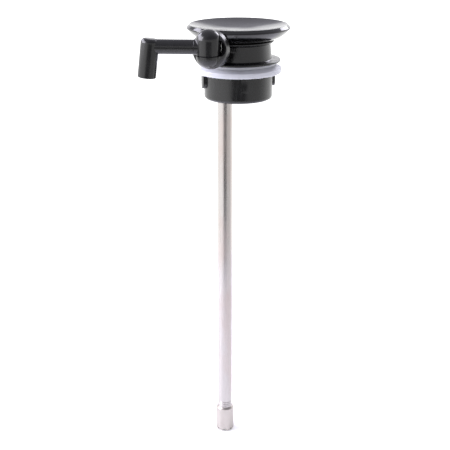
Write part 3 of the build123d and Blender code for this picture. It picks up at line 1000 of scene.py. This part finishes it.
@dataclass
class NeckCollar:
    """Neck plug with four upright bayonet lugs."""

    span: Span = field(default_factory=lambda: Span.of("neck_collar"))
    radius: float = 27.6
    pilot_top: float = -12.9
    top: float = 0.5
    top_radius: float = 27.75
    inner: float = 26.1
    ledge: float = 25.0
    ledge_height: float = -11.0
    floor: float = 2.0
    lugs: int = 4
    first_lug: float = -51.2
    lug_width: float = 9.7
    lug_low: float = -12.4
    lug_high: float = -0.6
    screw_angles: tuple[float, ...] = (90.0, 195.0, -15.0)
    screw_circle: float = 21.0
    shank_hole: float = 1.7
    head_hole: float = 3.1
    head_seat: float = -19.3
    pad_radius: float = 4.4
    pad_top: float = -17.3
    air_circle: float = 10.0

    def lug(self, angle: float) -> bpy.types.Object:
        """One lug with a round lower end.

        Args:
            angle: Its direction from +X in degrees.

        Returns:
            The lug, following the collar's curve.
        """
        half = self.lug_width / 2
        corners = upright(half, self.lug_low, self.lug_high, half, 0.6)
        heading = math.radians(angle)
        outward = Vector((math.cos(heading), math.sin(heading), 0))
        across = Vector((-outward.y, outward.x, 0))
        place = Matrix((across, Vector((0, 0, 1)), outward)).transposed().to_4x4()
        lug = prism("lug", traced(corners, 14), self.radius - 1.2, self.span.radius + 3, place)
        reach = max(self.span.radius, self.radius + 2.4)
        shell = lathe(
            "lug_shell",
            [
                (self.radius - 0.6, self.lug_low - 2),
                (reach, self.lug_low - 2),
                (reach, self.lug_high + 2),
                (self.radius - 0.6, self.lug_high + 2),
            ],
            segments=288,
        )
        return combine(lug, shell, Join.KEEP_SHARED)

    def build(self) -> None:
        """Builds the collar with its lugs, air holes and tube hole."""
        low = self.span.low.z
        outline = traced(
            [
                Corner(0, low),
                Corner(self.radius, low, 3.0),
                Corner(self.radius, self.pilot_top),
                Corner(self.top_radius, self.top, 0.3),
                Corner(self.inner, self.top, 0.2),
                Corner(self.inner, self.ledge_height),
                Corner(self.ledge, self.ledge_height, 0.2),
                Corner(self.ledge, low + self.floor, 1.0),
                Corner(0, low + self.floor),
            ],
            9,
        )
        collar = lathe("neck_collar_shell", outline, segments=288)
        for index in range(self.lugs):
            combine(collar, self.lug(self.first_lug + 360 * index / self.lugs), Join.ADD)
        tube = Span.of("riser_tube")
        holes = [(tube.middle.x, tube.middle.y, tube.radius + 0.1)]
        for angle in self.screw_angles:
            x, y = self.around(self.screw_circle, angle)
            combine(collar, rod("pad", self.pad_radius, low + 1, self.pad_top, about(x, y)), Join.ADD)
            combine(collar, rod("shank", self.shank_hole, low - 1, self.pad_top + 1, about(x, y)), Join.CUT)
            combine(collar, rod("head", self.head_hole, low - 1, self.head_seat, about(x, y)), Join.CUT)
        for index in range(6):
            x, y = self.around(self.air_circle, 30 + 60 * index)
            if y > tube.high.y + 3.8:
                holes.append((x, y, 1.8))
        for x, y, radius in holes:
            combine(collar, rod("hole", radius, low - 1, low + self.floor + 1, about(x, y)), Join.CUT)
        soften(collar, 0.5)
        seat(collar, GLOSS_ABS, Body.BASE, ["neck_collar"])

    def around(self, radius: float, degrees: float) -> Point:
        """X and Y of a point on a circle about the axis."""
        return radius * math.cos(math.radians(degrees)), radius * math.sin(math.radians(degrees))


# ---------------------------------------------------------------- riser tube


@dataclass
class RiserTube:
    """Drawn tube with rolled grooves above the foot, and the foot itself."""

    span: Span = field(default_factory=lambda: Span.of("riser_tube"))
    foot: Span = field(default_factory=lambda: Span.of("foot_fitting"))
    wall: float = 1.0
    grooves: int = 3
    notches: int = 8
    notch_width: float = 2.2
    notch_height: float = 2.4

    def place(self) -> Matrix:
        """The tube's axis."""
        return about(self.span.middle.x, self.span.middle.y)

    def build(self) -> None:
        """Builds the tube and its foot."""
        radius = self.span.radius
        inner = radius - self.wall
        outer = []
        start = self.foot.high.z
        outer.append((radius, self.span.low.z))
        for index in range(self.grooves):
            height = start + 1.0 + index * 1.7
            outer += [
                (radius - 0.12 * (1 - math.cos(math.tau * step / 10)), height + 0.1 * step)
                for step in range(11)
            ]
        length = self.span.high.z - outer[-1][1]
        outer += [(radius, outer[-1][1] + length * step / 24) for step in range(1, 24)]
        outer += [(radius, self.span.high.z - 0.2), (radius - 0.2, self.span.high.z)]
        bore = [(inner, self.span.high.z), (inner, self.span.low.z)]
        tube = lathe("riser_tube_drawn", outer + bore, self.place(), segments=96)
        seat(tube, DRAWN_STEEL, Body.BASE, ["riser_tube"])
        self.build_foot()

    def build_foot(self) -> None:
        """Builds the turned foot with notches round its mouth."""
        radius = self.foot.radius
        bore = self.span.radius
        low = self.foot.low.z
        high = self.foot.high.z
        outline = traced(
            [
                Corner(bore, high, 0.15),
                Corner(bore + 0.5, high, 0.3),
                Corner(radius - 0.2, high - 1.6, 0.7),
                Corner(radius, low + 1.1, 0.5),
                Corner(radius - 1.1, low, 0.3),
                Corner(bore - 0.6, low, 0.2),
                Corner(bore - 0.6, low + 4.0),
                Corner(bore, low + 4.0),
            ]
        )
        foot = lathe("foot_fitting_turned", outline, self.place(), segments=128)
        half = self.notch_width / 2
        for index in range(self.notches):
            heading = math.tau * (index + 0.5) / self.notches
            corners = upright(half, -2, self.notch_height, 0, 0.9)
            outward = Vector((math.cos(heading), math.sin(heading), 0))
            across = Vector((-outward.y, outward.x, 0))
            turn = Matrix((across, Vector((0, 0, 1)), outward)).transposed().to_4x4()
            place = self.place() @ about(0, 0, low) @ turn
            combine(foot, prism("notch", traced(corners, 5), bore - 2.6, radius + 2, place), Join.CUT)
        soften(foot, 0.12, 2)
        seat(foot, TURNED_STEEL, Body.BASE, ["foot_fitting"])


# ---------------------------------------------------------------- spout


@dataclass
class Pillar:
    """The rounded pillar that the spout turns on: fixed below its seam, turning above."""

    hood: Span = field(default_factory=lambda: Span.of("swivel_hood"))
    clip: Span = field(default_factory=lambda: Span.of("hood_clip"))
    radius: float = 9.6
    low: float = 11.4
    seam: float = 21.0
    gap: float = 0.3
    top_rise: float = 8.6
    low_rise: float = 9.3

    @property
    def axis(self) -> Vector:
        """A point on the swivel axis at height 0, from the snap ring round its post."""
        return Vector((self.clip.middle.x, self.hood.high.y - self.radius, 0))

    def reach_at(self, height: float) -> float:
        """The pillar's radius at a height."""
        top = self.hood.high.z - self.top_rise
        if height <= top:
            return self.radius
        share = min(1.0, (height - top) / self.top_rise)
        return self.radius * math.sqrt(1 - share**2)

    def dome(self, rise: float, turn: float) -> list[Point]:
        """Points of a dome from the pillar's side to the axis.

        Args:
            rise: Its rise, negative for a dome that hangs down.
            turn: Height where it starts.

        Returns:
            The dome's points.
        """
        steps = 26
        angles = [math.pi / 2 * step / steps for step in range(steps)]
        curve = [(self.radius * math.cos(angle), turn + rise * math.sin(angle)) for angle in angles]
        return [*curve, (0.0, turn + rise)]

    def lower_half(self, post_radius: float, post_top: float) -> list[Point]:
        """Outline of the fixed half with its post.

        Args:
            post_radius: The post's radius.
            post_top: Height of the post's end.

        Returns:
            The closed outline.
        """
        edge = [
            (0.0, post_top),
            (post_radius - 0.4, post_top),
            (post_radius, post_top - 0.4),
            (post_radius, self.seam),
            (self.radius - 0.3, self.seam),
        ]
        return edge + self.dome(-self.low_rise, self.low + self.low_rise)

    def pocket(self, gap: float) -> list[Point]:
        """Outline of the space that the hood needs to turn in.

        Args:
            gap: Clearance round the hood.

        Returns:
            The closed outline.
        """
        turn = self.hood.high.z - self.top_rise
        wide = 1 + gap / self.radius
        tall = 1 + gap / self.top_rise
        crown = [(x * wide, turn + (z - turn) * tall) for x, z in self.dome(self.top_rise, turn)]
        return [(0.0, self.seam), (self.radius + gap, self.seam), *crown]

    def upper_half(self, bore: float, bore_top: float) -> list[Point]:
        """Outline of the turning hood with its bore.

        Args:
            bore: The bore's radius.
            bore_top: Height of the bore's end.

        Returns:
            The closed outline.
        """
        foot = self.seam + self.gap
        edge = [
            (0.0, bore_top),
            (bore, bore_top),
            (bore, foot),
            (self.radius - 0.3, foot),
            (self.radius, foot + 0.3),
        ]
        return edge + self.dome(self.top_rise, self.hood.high.z - self.top_rise)


@dataclass
class OutletHub:
    """Neck, round back plate, lower half of the pillar and its hollow post."""

    pillar: Pillar
    drum_radius: float = 14.7
    drum_height: float = 24.9
    drum_back: float = 45.5
    drum_face: float = 55.0
    neck_radius: float = 5.0
    neck_height: float = 17.0
    neck_start: float = 27.2
    pocket_gap: float = 0.4
    post_radius: float = 5.98
    post_top: float = 36.0
    bore: float = 3.1
    pipe_bore: float = 4.25
    pipe_end: float = 34.4
    arm_height: float = 27.3
    way_radius: float = 6.55
    arm_angle: float = 68.0
    way_reach: float = 40.0

    def cut_arm_way(self, hub: bpy.types.Object) -> None:
        """Cuts away all that the arm sweeps through.

        Args:
            hub: The hub's mesh.
        """
        axis = self.pillar.axis
        reach = self.way_reach
        shift = about(axis.x, axis.y)
        turn = math.radians(90 - self.arm_angle)
        side = reach * math.cos(turn)
        near = reach * math.sin(turn)
        sector = [(0, 0), (-side, -near), (-side, -reach), (side, -reach), (side, -near)]
        low = self.arm_height - self.way_radius
        high = self.arm_height + self.way_radius
        combine(hub, prism("arm_way", sector, low, high, shift), Join.CUT)
        for end in (-1, 1):
            heading = math.radians(-90 + end * self.arm_angle)
            toward = Vector((math.cos(heading), math.sin(heading), 0))
            way = aimed(Vector((axis.x, axis.y, self.arm_height)), toward)
            combine(hub, rod("arm_way", self.way_radius, 0, reach, way), Join.CUT)

    def build(self) -> None:
        """Builds the hub and cuts the pocket that the hood turns in."""
        axis = self.pillar.axis
        shift = about(axis.x, axis.y)
        outward = aimed(Vector((0, 0, self.drum_height)), Vector((0, -1, 0)))
        outline = traced(
            [
                Corner(0, self.drum_back),
                Corner(self.drum_radius, self.drum_back, 0.8),
                Corner(self.drum_radius, self.drum_face, 4.0),
                Corner(0, self.drum_face),
            ],
            9,
        )
        hub = lathe("outlet_hub_moulding", outline, outward)
        neck_way = aimed(Vector((0, 0, self.neck_height)), Vector((0, -1, 0)))
        combine(hub, rod("neck", self.neck_radius, self.neck_start, -axis.y, neck_way), Join.ADD)
        combine(hub, lathe("pocket", self.pillar.pocket(self.pocket_gap), shift), Join.CUT)
        self.cut_arm_way(hub)
        pillar = self.pillar.lower_half(self.post_radius, self.post_top)
        combine(hub, lathe("lower_pillar", pillar, shift), Join.ADD)
        combine(hub, rod("bore", self.bore, self.neck_height, self.arm_height + 2, shift), Join.CUT)
        combine(hub, rod("bore", self.bore, self.neck_start - 1, -axis.y, neck_way), Join.CUT)
        combine(hub, rod("bore", self.pipe_bore, self.neck_start - 1, self.pipe_end, neck_way), Join.CUT)
        soften(hub, 0.3)
        seat(hub, GLOSS_ABS, Body.BASE, ["outlet_hub"])


@dataclass
class Spout:
    """Swivelling spout: domed hood, straight arm and leaning outlet."""

    pillar: Pillar
    height: float = 27.3
    angle: float = 68.0
    lean: float = 6.5
    length: float = 45.0
    joint: float = 11.0
    stub_radius: float = 5.95
    arm_radius: float = 5.7
    arm_bore: float = 3.5
    outlet_radius: float = 7.2
    outlet_bore: float = 5.0
    outlet_top: float = 33.6
    outlet_low: float = 3.4
    root_flare: float = 1.6
    outlet_round: float = 5.8
    hood_bore: float = 6.05
    socket_radius: float = 4.62
    socket_start: float = 7.0
    way_radius: float = 2.2
    break_edge: float = 0.12
    bore_top: float = 36.4

    @property
    def heading(self) -> Vector:
        """The arm's direction at rest."""
        turn = math.radians(-90 - self.angle)
        return Vector((math.cos(turn), math.sin(turn), 0))

    @property
    def start(self) -> Vector:
        """Where the arm's axis crosses the swivel axis."""
        axis = self.pillar.axis
        return Vector((axis.x, axis.y, self.height))

    def ring_point(self, distance: float, offset: float, turn: float) -> Vector:
        """A point about the arm's axis.

        Args:
            distance: Distance along the arm.
            offset: Distance from the arm's axis.
            turn: Angle about the arm, from straight up.

        Returns:
            The point in millimetres.
        """
        side = self.heading.cross(Vector((0, 0, 1)))
        return (
            self.start
            + self.heading * distance
            + Vector((0, 0, 1)) * (offset * math.cos(turn))
            + side * (offset * math.sin(turn))
        )

    def sleeve(self, name: str, rings: list[Callable[[float], Point]]) -> bpy.types.Object:
        """A closed sleeve about the arm's axis.

        Args:
            name: The piece's name.
            rings: For each ring, distance along the arm and offset from it at an angle.

        Returns:
            The sleeve.
        """
        segments = 96
        made = bmesh.new()
        rows = []
        for ring in rings:
            row = []
            for index in range(segments):
                turn = math.tau * index / segments
                distance, offset = ring(turn)
                row.append(made.verts.new(self.ring_point(distance, offset, turn) * MM))
            rows.append(row)
        for row, after in zip(rows, rows[1:]):
            for index in range(segments):
                ahead = (index + 1) % segments
                made.faces.new((row[index], row[ahead], after[ahead], after[index]))
        made.faces.new(rows[0])
        made.faces.new(rows[-1])
        return as_object(name, made)

    def hood_ring(self, share: float) -> Callable[[float], Point]:
        """One ring of the fillet between the hood and the arm's stub.

        Args:
            share: 0 on the hood and 1 on the stub.

        Returns:
            The ring's distance and offset at an angle.
        """

        def ring(turn: float) -> Point:
            """The ring's distance and offset at an angle."""
            wide = self.flare_offset(turn)
            level = self.height + wide * math.cos(turn)
            reach = self.pillar.reach_at(level) - 0.02
            root = math.sqrt(max(0.5, reach**2 - (wide * math.sin(turn)) ** 2))
            arc = share * math.pi / 2
            offset = self.stub_radius + self.flare(turn) * (1 - math.sin(arc))
            return root + self.flare(turn) * (1 - math.cos(arc)), offset

        return ring

    def straight(self, distance: float, offset: float) -> Callable[[float], Point]:
        """A plain ring about the arm."""
        return lambda turn: (distance, offset)

    def along_arm(self) -> Matrix:
        """The arm's own frame."""
        return aimed(self.start, self.heading)

    def along_outlet(self) -> Matrix:
        """The outlet's own frame, Z pointing up its leaning axis."""
        lean = math.radians(self.lean)
        up = Vector((0, 0, math.cos(lean))) - self.heading * math.sin(lean)
        return aimed(self.start + self.heading * self.length, up)

    def build(self) -> None:
        """Builds the hood, the arm and the outlet."""
        self.build_hood()
        self.build_arm()
        self.build_outlet()

    def build_hood(self) -> None:
        """Builds the hood with the arm's stub."""
        axis = self.pillar.axis
        shift = about(axis.x, axis.y)
        hood = lathe("swivel_hood_moulding", self.pillar.upper_half(self.hood_bore, self.bore_top), shift)
        rings = [self.wall_ring(share) for share in (0.02, 0.4, 0.75, 1.0)]
        rings += [self.hood_ring(step / 8) for step in range(9)]
        rings += [self.straight(self.joint - self.break_edge, self.stub_radius)]
        rings += [self.straight(self.joint, self.stub_radius - self.break_edge)]
        stub = self.sleeve("stub", rings)
        combine(hood, stub, Join.ADD)
        combine(hood, rod("trim", 30, -20, self.pillar.seam + self.pillar.gap + 0.01, shift), Join.CUT)
        socket = rod("socket", self.socket_radius, self.socket_start, self.joint + 1, self.along_arm())
        combine(hood, socket, Join.CUT)
        way = rod("way", self.way_radius, self.socket_start - 4, self.socket_start + 2, self.along_arm())
        combine(hood, way, Join.CUT)
        smooth(hood)
        seat(hood, GLOSS_ABS, Body.SPOUT, ["swivel_hood"])

    def wall_ring(self, share: float) -> Callable[[float], Point]:
        """One ring inside the hood's wall, where the stub starts.

        Args:
            share: 0 at the stub's axis and 1 at its edge.

        Returns:
            The ring's distance and offset at an angle.
        """

        def ring(turn: float) -> Point:
            """The ring's distance and offset at an angle."""
            offset = self.flare_offset(turn) * share
            level = self.height + offset * math.cos(turn)
            reach = self.pillar.reach_at(level) - 1.0
            return math.sqrt(max(1.0, reach**2 - (offset * math.sin(turn)) ** 2)), offset

        return ring

    def flare_offset(self, turn: float) -> float:
        """Offset of the flare's edge on the hood, which fades out below the stub."""
        return self.stub_radius + self.flare(turn)

    def flare(self, turn: float) -> float:
        """Width of the flare at an angle."""
        return self.root_flare * (0.08 + 0.92 * (1 + math.cos(turn)) / 2)

    def build_arm(self) -> None:
        """Builds the arm with its spigots and bore."""
        spigot = self.arm_radius - 1.1
        rings = [
            self.straight(7.6, spigot),
            self.straight(self.joint, spigot),
            self.straight(self.joint, self.arm_radius - 0.15),
            self.straight(self.joint + 0.15, self.arm_radius),
        ]
        rings += [self.straight(self.joint + 2 + 4 * step, self.arm_radius) for step in range(6)]
        rings += [self.straight(self.length - 2.0, self.arm_radius)]
        arm = self.sleeve("spout_arm_moulding", rings)
        combine(arm, lathe("core", self.outlet_core(), self.along_outlet(), segments=128), Join.CUT)
        combine(arm, rod("bore", self.arm_bore, 5, self.length + 5, self.along_arm()), Join.CUT)
        smooth(arm)
        seat(arm, GLOSS_ABS, Body.SPOUT, ["spout_arm"])

    def outlet_core(self) -> list[Point]:
        """Outline of the outlet as one solid, a hair smaller than the outlet."""
        radius = self.outlet_radius - 0.02
        top = self.outlet_top - self.height - 0.02
        low = self.outlet_low - self.height
        shoulder = Corner(radius, top, self.outlet_round)
        return traced([Corner(0, top), shoulder, Corner(radius, low), Corner(0, low)], 12)

    def build_outlet(self) -> None:
        """Builds the closed-topped outlet."""
        top = self.outlet_top - self.height
        low = self.outlet_low - self.height
        outline = traced(
            [
                Corner(0, top),
                Corner(self.outlet_radius, top, self.outlet_round),
                Corner(self.outlet_radius, low, 0.7),
                Corner(self.outlet_bore, low, 0.5),
                Corner(self.outlet_bore, top - 3.0, 1.0),
                Corner(0, top - 3.0),
            ],
            12,
        )
        outlet = lathe("spout_outlet_moulding", outline, self.along_outlet(), segments=128)
        inlet = rod("inlet", self.arm_radius - 1.08, self.length - 14, self.length, self.along_arm())
        combine(outlet, inlet, Join.CUT)
        smooth(outlet)
        seat(outlet, GLOSS_ABS, Body.SPOUT, ["spout_outlet"])


@dataclass
class LockSlider:
    """Small ribbed slider beside the neck."""

    span: Span = field(default_factory=lambda: Span.of("lock_slider"))
    angle: float = -72.5
    width: float = 5.4
    height: float = 3.8
    travel: float = 2.2
    stem_width: float = 2.0
    stem_shift: float = -0.9
    stem_start: float = 24.5
    slot_round: float = 0.6
    grip_width: float = 0.55
    grip_pitch: float = 1.5
    stem_height: float = 1.8
    face: float = 27.05
    depth: float = 1.6

    def place(self, radius: float, shift: float = 0.0) -> Matrix:
        """The slider's frame: X along the wall, Y up and Z outward.

        Args:
            radius: Distance from the axis.
            shift: Distance along the wall.

        Returns:
            The frame in millimetres.
        """
        heading = math.radians(self.angle)
        outward = Vector((math.cos(heading), math.sin(heading), 0))
        along = Vector((-outward.y, outward.x, 0))
        turn = Matrix((along, Vector((0, 0, 1)), outward)).transposed().to_4x4()
        origin = outward * radius + along * shift + Vector((0, 0, self.span.middle.z))
        return Matrix.Translation(origin) @ turn

    def block(
        self, name: str, wide: float, tall: float, low: float, high: float, rounding: float
    ) -> bpy.types.Object:
        """A block with round corners, facing outward.

        Args:
            name: The piece's name.
            wide: Width along the wall.
            tall: Height.
            low: Distance from the axis of its inner face.
            high: Distance from the axis of its outer face.
            rounding: Radius of its corners.

        Returns:
            The block.
        """
        corners = upright(wide / 2, -tall / 2, tall / 2, rounding, rounding)
        return prism(name, traced(corners, 5), 0, high - low, self.place(low))

    def build(self) -> None:
        """Builds the knob with its grips and the stem in the wall."""
        knob = self.block("lock_slider_knob", self.width, self.height, self.face, self.face + self.depth, 0.7)
        soften(knob, 0.35)
        for index in range(3):
            top = self.face + self.depth
            groove = self.block("groove", self.grip_width, self.height + 2, top - 0.3, top + 1, 0)
            groove.data.transform(Matrix.Translation(self.along() * (index - 1) * self.grip_pitch * MM))
            combine(knob, groove, Join.CUT)
        stem = self.block("stem", self.stem_width, self.stem_height, self.stem_start, self.face + 0.4, 0.4)
        stem.data.transform(Matrix.Translation(self.along() * self.stem_shift * MM))
        combine(knob, stem, Join.ADD)
        soften(knob, 0.1, 2)
        seat(knob, GLOSS_ABS, Body.LOCK, ["lock_slider"])

    def along(self) -> Vector:
        """The direction in which the slider runs."""
        heading = math.radians(self.angle + 90)
        return Vector((math.cos(heading), math.sin(heading), 0))


# ---------------------------------------------------------------- inside


@dataclass
class AirPump:
    """Bellows and spring between the deck and the plate."""

    bellows: Span = field(default_factory=lambda: Span.of("bellows"))
    spring: Span = field(default_factory=lambda: Span.of("return_spring"))
    folds: int = 3
    crest: float = 17.4
    root: float = 12.8
    skin: float = 0.6
    wire: float = 0.5
    coils: int = 4

    def stretch(self, piece: bpy.types.Object, span: Span) -> None:
        """Bakes a piece's placement into its mesh.

        Args:
            piece: The piece.
            span: Not used.
        """
        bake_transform(piece)

    def build(self) -> None:
        """Builds the bellows and the spring."""
        self.build_bellows()
        self.build_spring()

    def build_bellows(self) -> None:
        """Builds the bellows as one folded skin."""
        low = self.bellows.low.z
        high = self.bellows.high.z
        first = low + 0.7
        last = high - 0.7
        steps = 16 * self.folds
        outer = []
        inner = []
        for step in range(steps + 1):
            share = step / steps
            height = first + (last - first) * share
            wave = (1 - math.cos(math.tau * self.folds * share)) / 2
            reach = self.root + (self.crest - self.root) * wave
            outer.append((reach, height))
            inner.append((reach - self.skin, height))
        flange = self.bellows.radius
        outline = [(flange, low), (flange, low + 0.65), *outer, (self.crest, high - 0.65), (self.crest, high)]
        outline += [(self.root - self.skin, high), *reversed(inner), (self.root - self.skin, low)]
        bellows = lathe("bellows_moulding", outline, segments=96)
        bellows.data.materials.append(GREY_SILICONE.material())
        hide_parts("bellows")
        self.stretch(bellows, self.bellows)
        log.info("%s: %d faces", bellows.name, len(bellows.data.polygons))

    def build_spring(self) -> None:
        """Builds the coil spring as a swept wire."""
        low = self.spring.low.z + self.wire
        high = self.spring.high.z - self.wire
        mid = self.spring.radius - self.wire
        made = bmesh.new()
        steps = 40 * self.coils
        sides = 12
        rows = []
        for step in range(steps + 1):
            angle = math.tau * self.coils * step / steps
            out = Vector((math.cos(angle), math.sin(angle), 0))
            centre = out * mid + Vector((0, 0, low + (high - low) * step / steps))
            row = []
            for side in range(sides):
                turn = math.tau * side / sides
                rise = Vector((0, 0, self.wire * math.sin(turn)))
                spot = centre + out * (self.wire * math.cos(turn)) + rise
                row.append(made.verts.new(spot * MM))
            rows.append(row)
        for row, after in zip(rows, rows[1:]):
            for side in range(sides):
                ahead = (side + 1) % sides
                made.faces.new((row[side], row[ahead], after[ahead], after[side]))
        made.faces.new(rows[0])
        made.faces.new(rows[-1])
        spring = as_object("return_spring_wire", made)
        spring.data.materials.append(BRIGHT_STEEL.material())
        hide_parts("return_spring")
        self.stretch(spring, self.spring)
        log.info("%s: %d faces", spring.name, len(spring.data.polygons))


@dataclass
class InnerPieces:
    """CAD nodes that stay as they are and only get their finish."""

    finishes: dict[str, Finish] = field(
        default_factory=lambda: {
            "bellows_seat": SATIN_PP,
            "outlet_elbow": SATIN_PP,
            "bellows_disc": SATIN_PP,
            "guide_skirt": SATIN_PP,
            "bellows_clamp": SATIN_PP,
            "flap_rivet": SATIN_PP,
            "foot_valve_seat": SATIN_PP,
            "outlet_liner": SATIN_PP,
            "collar_screws": BRIGHT_STEEL,
            "plate_screws": BRIGHT_STEEL,
            "foot_valve_ball": BRIGHT_STEEL,
            "foot_valve_pin": BRIGHT_STEEL,
            "hood_clip": BRIGHT_STEEL,
            "delivery_flap": GREY_SILICONE,
            "intake_flap": GREY_SILICONE,
            "elbow_seal": NITRILE,
            "tube_seal": NITRILE,
            "swivel_seals": NITRILE,
        }
    )

    def build(self) -> None:
        """Dresses each node."""
        for node, finish in self.finishes.items():
            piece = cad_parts[node]
            for place in piece.material_slots:
                place.material = finish.material()
            log.info("%s: %s", node, finish.name)


# ---------------------------------------------------------------- studio


@dataclass(frozen=True)
class Softbox:
    """One studio light, placed round the pump head."""

    name: str
    azimuth: float
    elevation: float
    distance: float
    wide: float
    tall: float
    power: float
    colour: str = "ffffff"

    def build(self, target: Vector) -> None:
        """Hangs the light so that it faces a point.

        Args:
            target: The point in metres.
        """
        light = bpy.data.lights.new(self.name, "AREA")
        light.shape = "RECTANGLE"
        light.size = self.wide
        light.size_y = self.tall
        light.energy = self.power
        light.color = srgb(self.colour)[:3]
        lamp = bpy.data.objects.new(self.name, light)
        azimuth = math.radians(self.azimuth)
        elevation = math.radians(self.elevation)
        away = Vector(
            (
                math.sin(azimuth) * math.cos(elevation),
                -math.cos(azimuth) * math.cos(elevation),
                math.sin(elevation),
            )
        )
        lamp.location = target + away * self.distance
        lamp.rotation_euler = (-away).to_track_quat("-Z", "Y").to_euler()
        bpy.context.scene.collection.objects.link(lamp)


@dataclass
class Studio:
    """Pale floor, soft lights and the camera."""

    azimuth: float = 26.0
    pitch: float = 18.26
    distance: float = 0.882
    height: float = 0.1606
    side: float = -0.0107
    lens: float = 88.0
    floor_reach: float = 0.45
    room_light: float = 1.7
    front_share: float = 0.55
    flag_turn: float = 2.0
    flag_wide: float = 2400.0
    flag_away: float = 2500.0
    flag_rise: Point = (-1050.0, -150.0)
    flag_round: float = 300.0

    def build(self) -> None:
        """Builds the floor, the lights, the surroundings and the camera."""
        self.build_floor()
        self.build_flag()
        target = Vector((0, 0, -0.02))
        for softbox in self.softboxes():
            softbox.build(target)
        self.build_surroundings()
        self.build_camera()

    def softboxes(self) -> list[Softbox]:
        """The lights, with azimuths from the camera's side."""
        return [
            Softbox("softbox_left", self.azimuth - 82, 24, 1.0, 0.8, 0.6, 14.0, "f6f4ff"),
            Softbox("rim_left", self.azimuth - 122, 32, 1.3, 0.6, 0.55, 8.0, "f2f0ff"),
            Softbox("rim_right", self.azimuth + 144, 27, 1.3, 0.5, 0.4, 5.0, "f6f4ff"),
        ]

    def direction(self, azimuth: float, elevation: float = 0.0) -> Vector:
        """A direction at an azimuth from the camera's side.

        Args:
            azimuth: Degrees to the right of the camera.
            elevation: Degrees above the horizon.

        Returns:
            The unit direction.
        """
        turn = math.radians(self.azimuth + azimuth)
        rise = math.radians(elevation)
        return Vector((math.sin(turn) * math.cos(rise), -math.cos(turn) * math.cos(rise), math.sin(rise)))

    def build_floor(self) -> None:
        """Builds the pale floor under the foot."""
        level = frame_low() / MM
        reach = self.floor_reach / MM
        outline = [(0, level - 5), (reach, level - 5), (reach, level - 0.3), (0, level - 0.3)]
        floor = lathe("floor", outline, segments=96)
        floor.data.materials.append(OPAL_ACRYLIC.material())

    def build_flag(self) -> None:
        """Stands a dark card behind and below the camera, which darkens what faces it."""
        away = self.direction(self.flag_turn)
        across = Vector((-away.y, away.x, 0))
        place = Matrix((across, Vector((0, 0, 1)), away)).transposed().to_4x4()
        half = self.flag_wide / 2
        low, high = self.flag_rise
        corners = upright(half, low, high, self.flag_round, self.flag_round)
        card = prism("flag_card", traced(corners, 8), self.flag_away, self.flag_away + 20, place)
        card.data.materials.append(CHARCOAL_CARD.material())
        card.visible_camera = False

    def build_surroundings(self) -> None:
        """Makes the room: bright up to a little above the horizon, dimmer overhead and in front."""
        world = bpy.data.worlds.new("studio_room")
        world.use_nodes = True
        tree = world.node_tree
        tree.nodes.clear()
        coords = add_node(tree, "TexCoord").outputs["Generated"]
        parts = add_node(tree, "SeparateXYZ", links={0: coords})
        ramp = add_node(tree, "ValToRGB", links={0: parts.outputs[2]})
        stops = ((0.0, "ffffff"), (0.3, "fbfaff"), (0.335, "a9a8b1"), (0.7, "b0afb8"), (1.0, "a8a7b0"))
        elements = ramp.color_ramp.elements
        elements[0].position, elements[0].color = stops[0][0], srgb(stops[0][1])
        elements[1].position, elements[1].color = stops[-1][0], srgb(stops[-1][1])
        for place, colour in stops[1:-1]:
            elements.new(place).color = srgb(colour)
        facing = add_node(
            tree,
            "VectorMath",
            settings={"operation": "DOT_PRODUCT"},
            values={1: self.direction(35)},
            links={0: coords},
        ).outputs["Value"]
        share = add_node(
            tree,
            "MapRange",
            settings={"interpolation_type": "SMOOTHSTEP"},
            values={
                "From Min": 0.1,
                "From Max": 0.8,
                "To Min": self.room_light,
                "To Max": self.room_light * self.front_share,
            },
            links={"Value": facing},
        ).outputs[0]
        light = add_node(tree, "Background", links={0: ramp.outputs[0], 1: share})
        add_node(tree, "OutputWorld", links={0: light.outputs[0]})
        bpy.context.scene.world = world

    def build_camera(self) -> None:
        """Places the camera beside the swivel hub, looking down at the riser."""
        azimuth = math.radians(self.azimuth)
        toward = Vector((math.sin(azimuth), -math.cos(azimuth), 0))
        right = Vector((math.cos(azimuth), math.sin(azimuth), 0))
        data = bpy.data.cameras.new("studio_camera")
        data.lens = self.lens
        data.sensor_width = 36.0
        data.clip_end = 50
        camera = bpy.data.objects.new("studio_camera", data)
        camera.location = toward * self.distance + right * self.side + Vector((0, 0, self.height))
        pitch = math.radians(self.pitch)
        look = -toward * math.cos(pitch) - Vector((0, 0, math.sin(pitch)))
        camera.rotation_euler = look.to_track_quat("-Z", "Y").to_euler()
        bpy.context.scene.collection.objects.link(camera)
        bpy.context.scene.camera = camera
        bpy.context.scene.view_settings.view_transform = "Standard"


def frame_low() -> float:
    """The CAD box's lowest height in metres."""
    return CAD_BOX[0].z


def main() -> None:
    """Builds every sub-assembly in order."""
    logging.basicConfig(level=logging.INFO, format="%(message)s")
    Studio().build()
    pillar = Pillar()
    for assembly in (
        PushPlate(),
        Housing(),
        NeckSeal(),
        NeckCollar(),
        RiserTube(),
        OutletHub(pillar),
        Spout(pillar),
        LockSlider(),
        AirPump(),
        InnerPieces(),
    ):
        log.info("== %s", type(assembly).__name__)
        assembly.build()


if __name__ == "__main__":
    main()
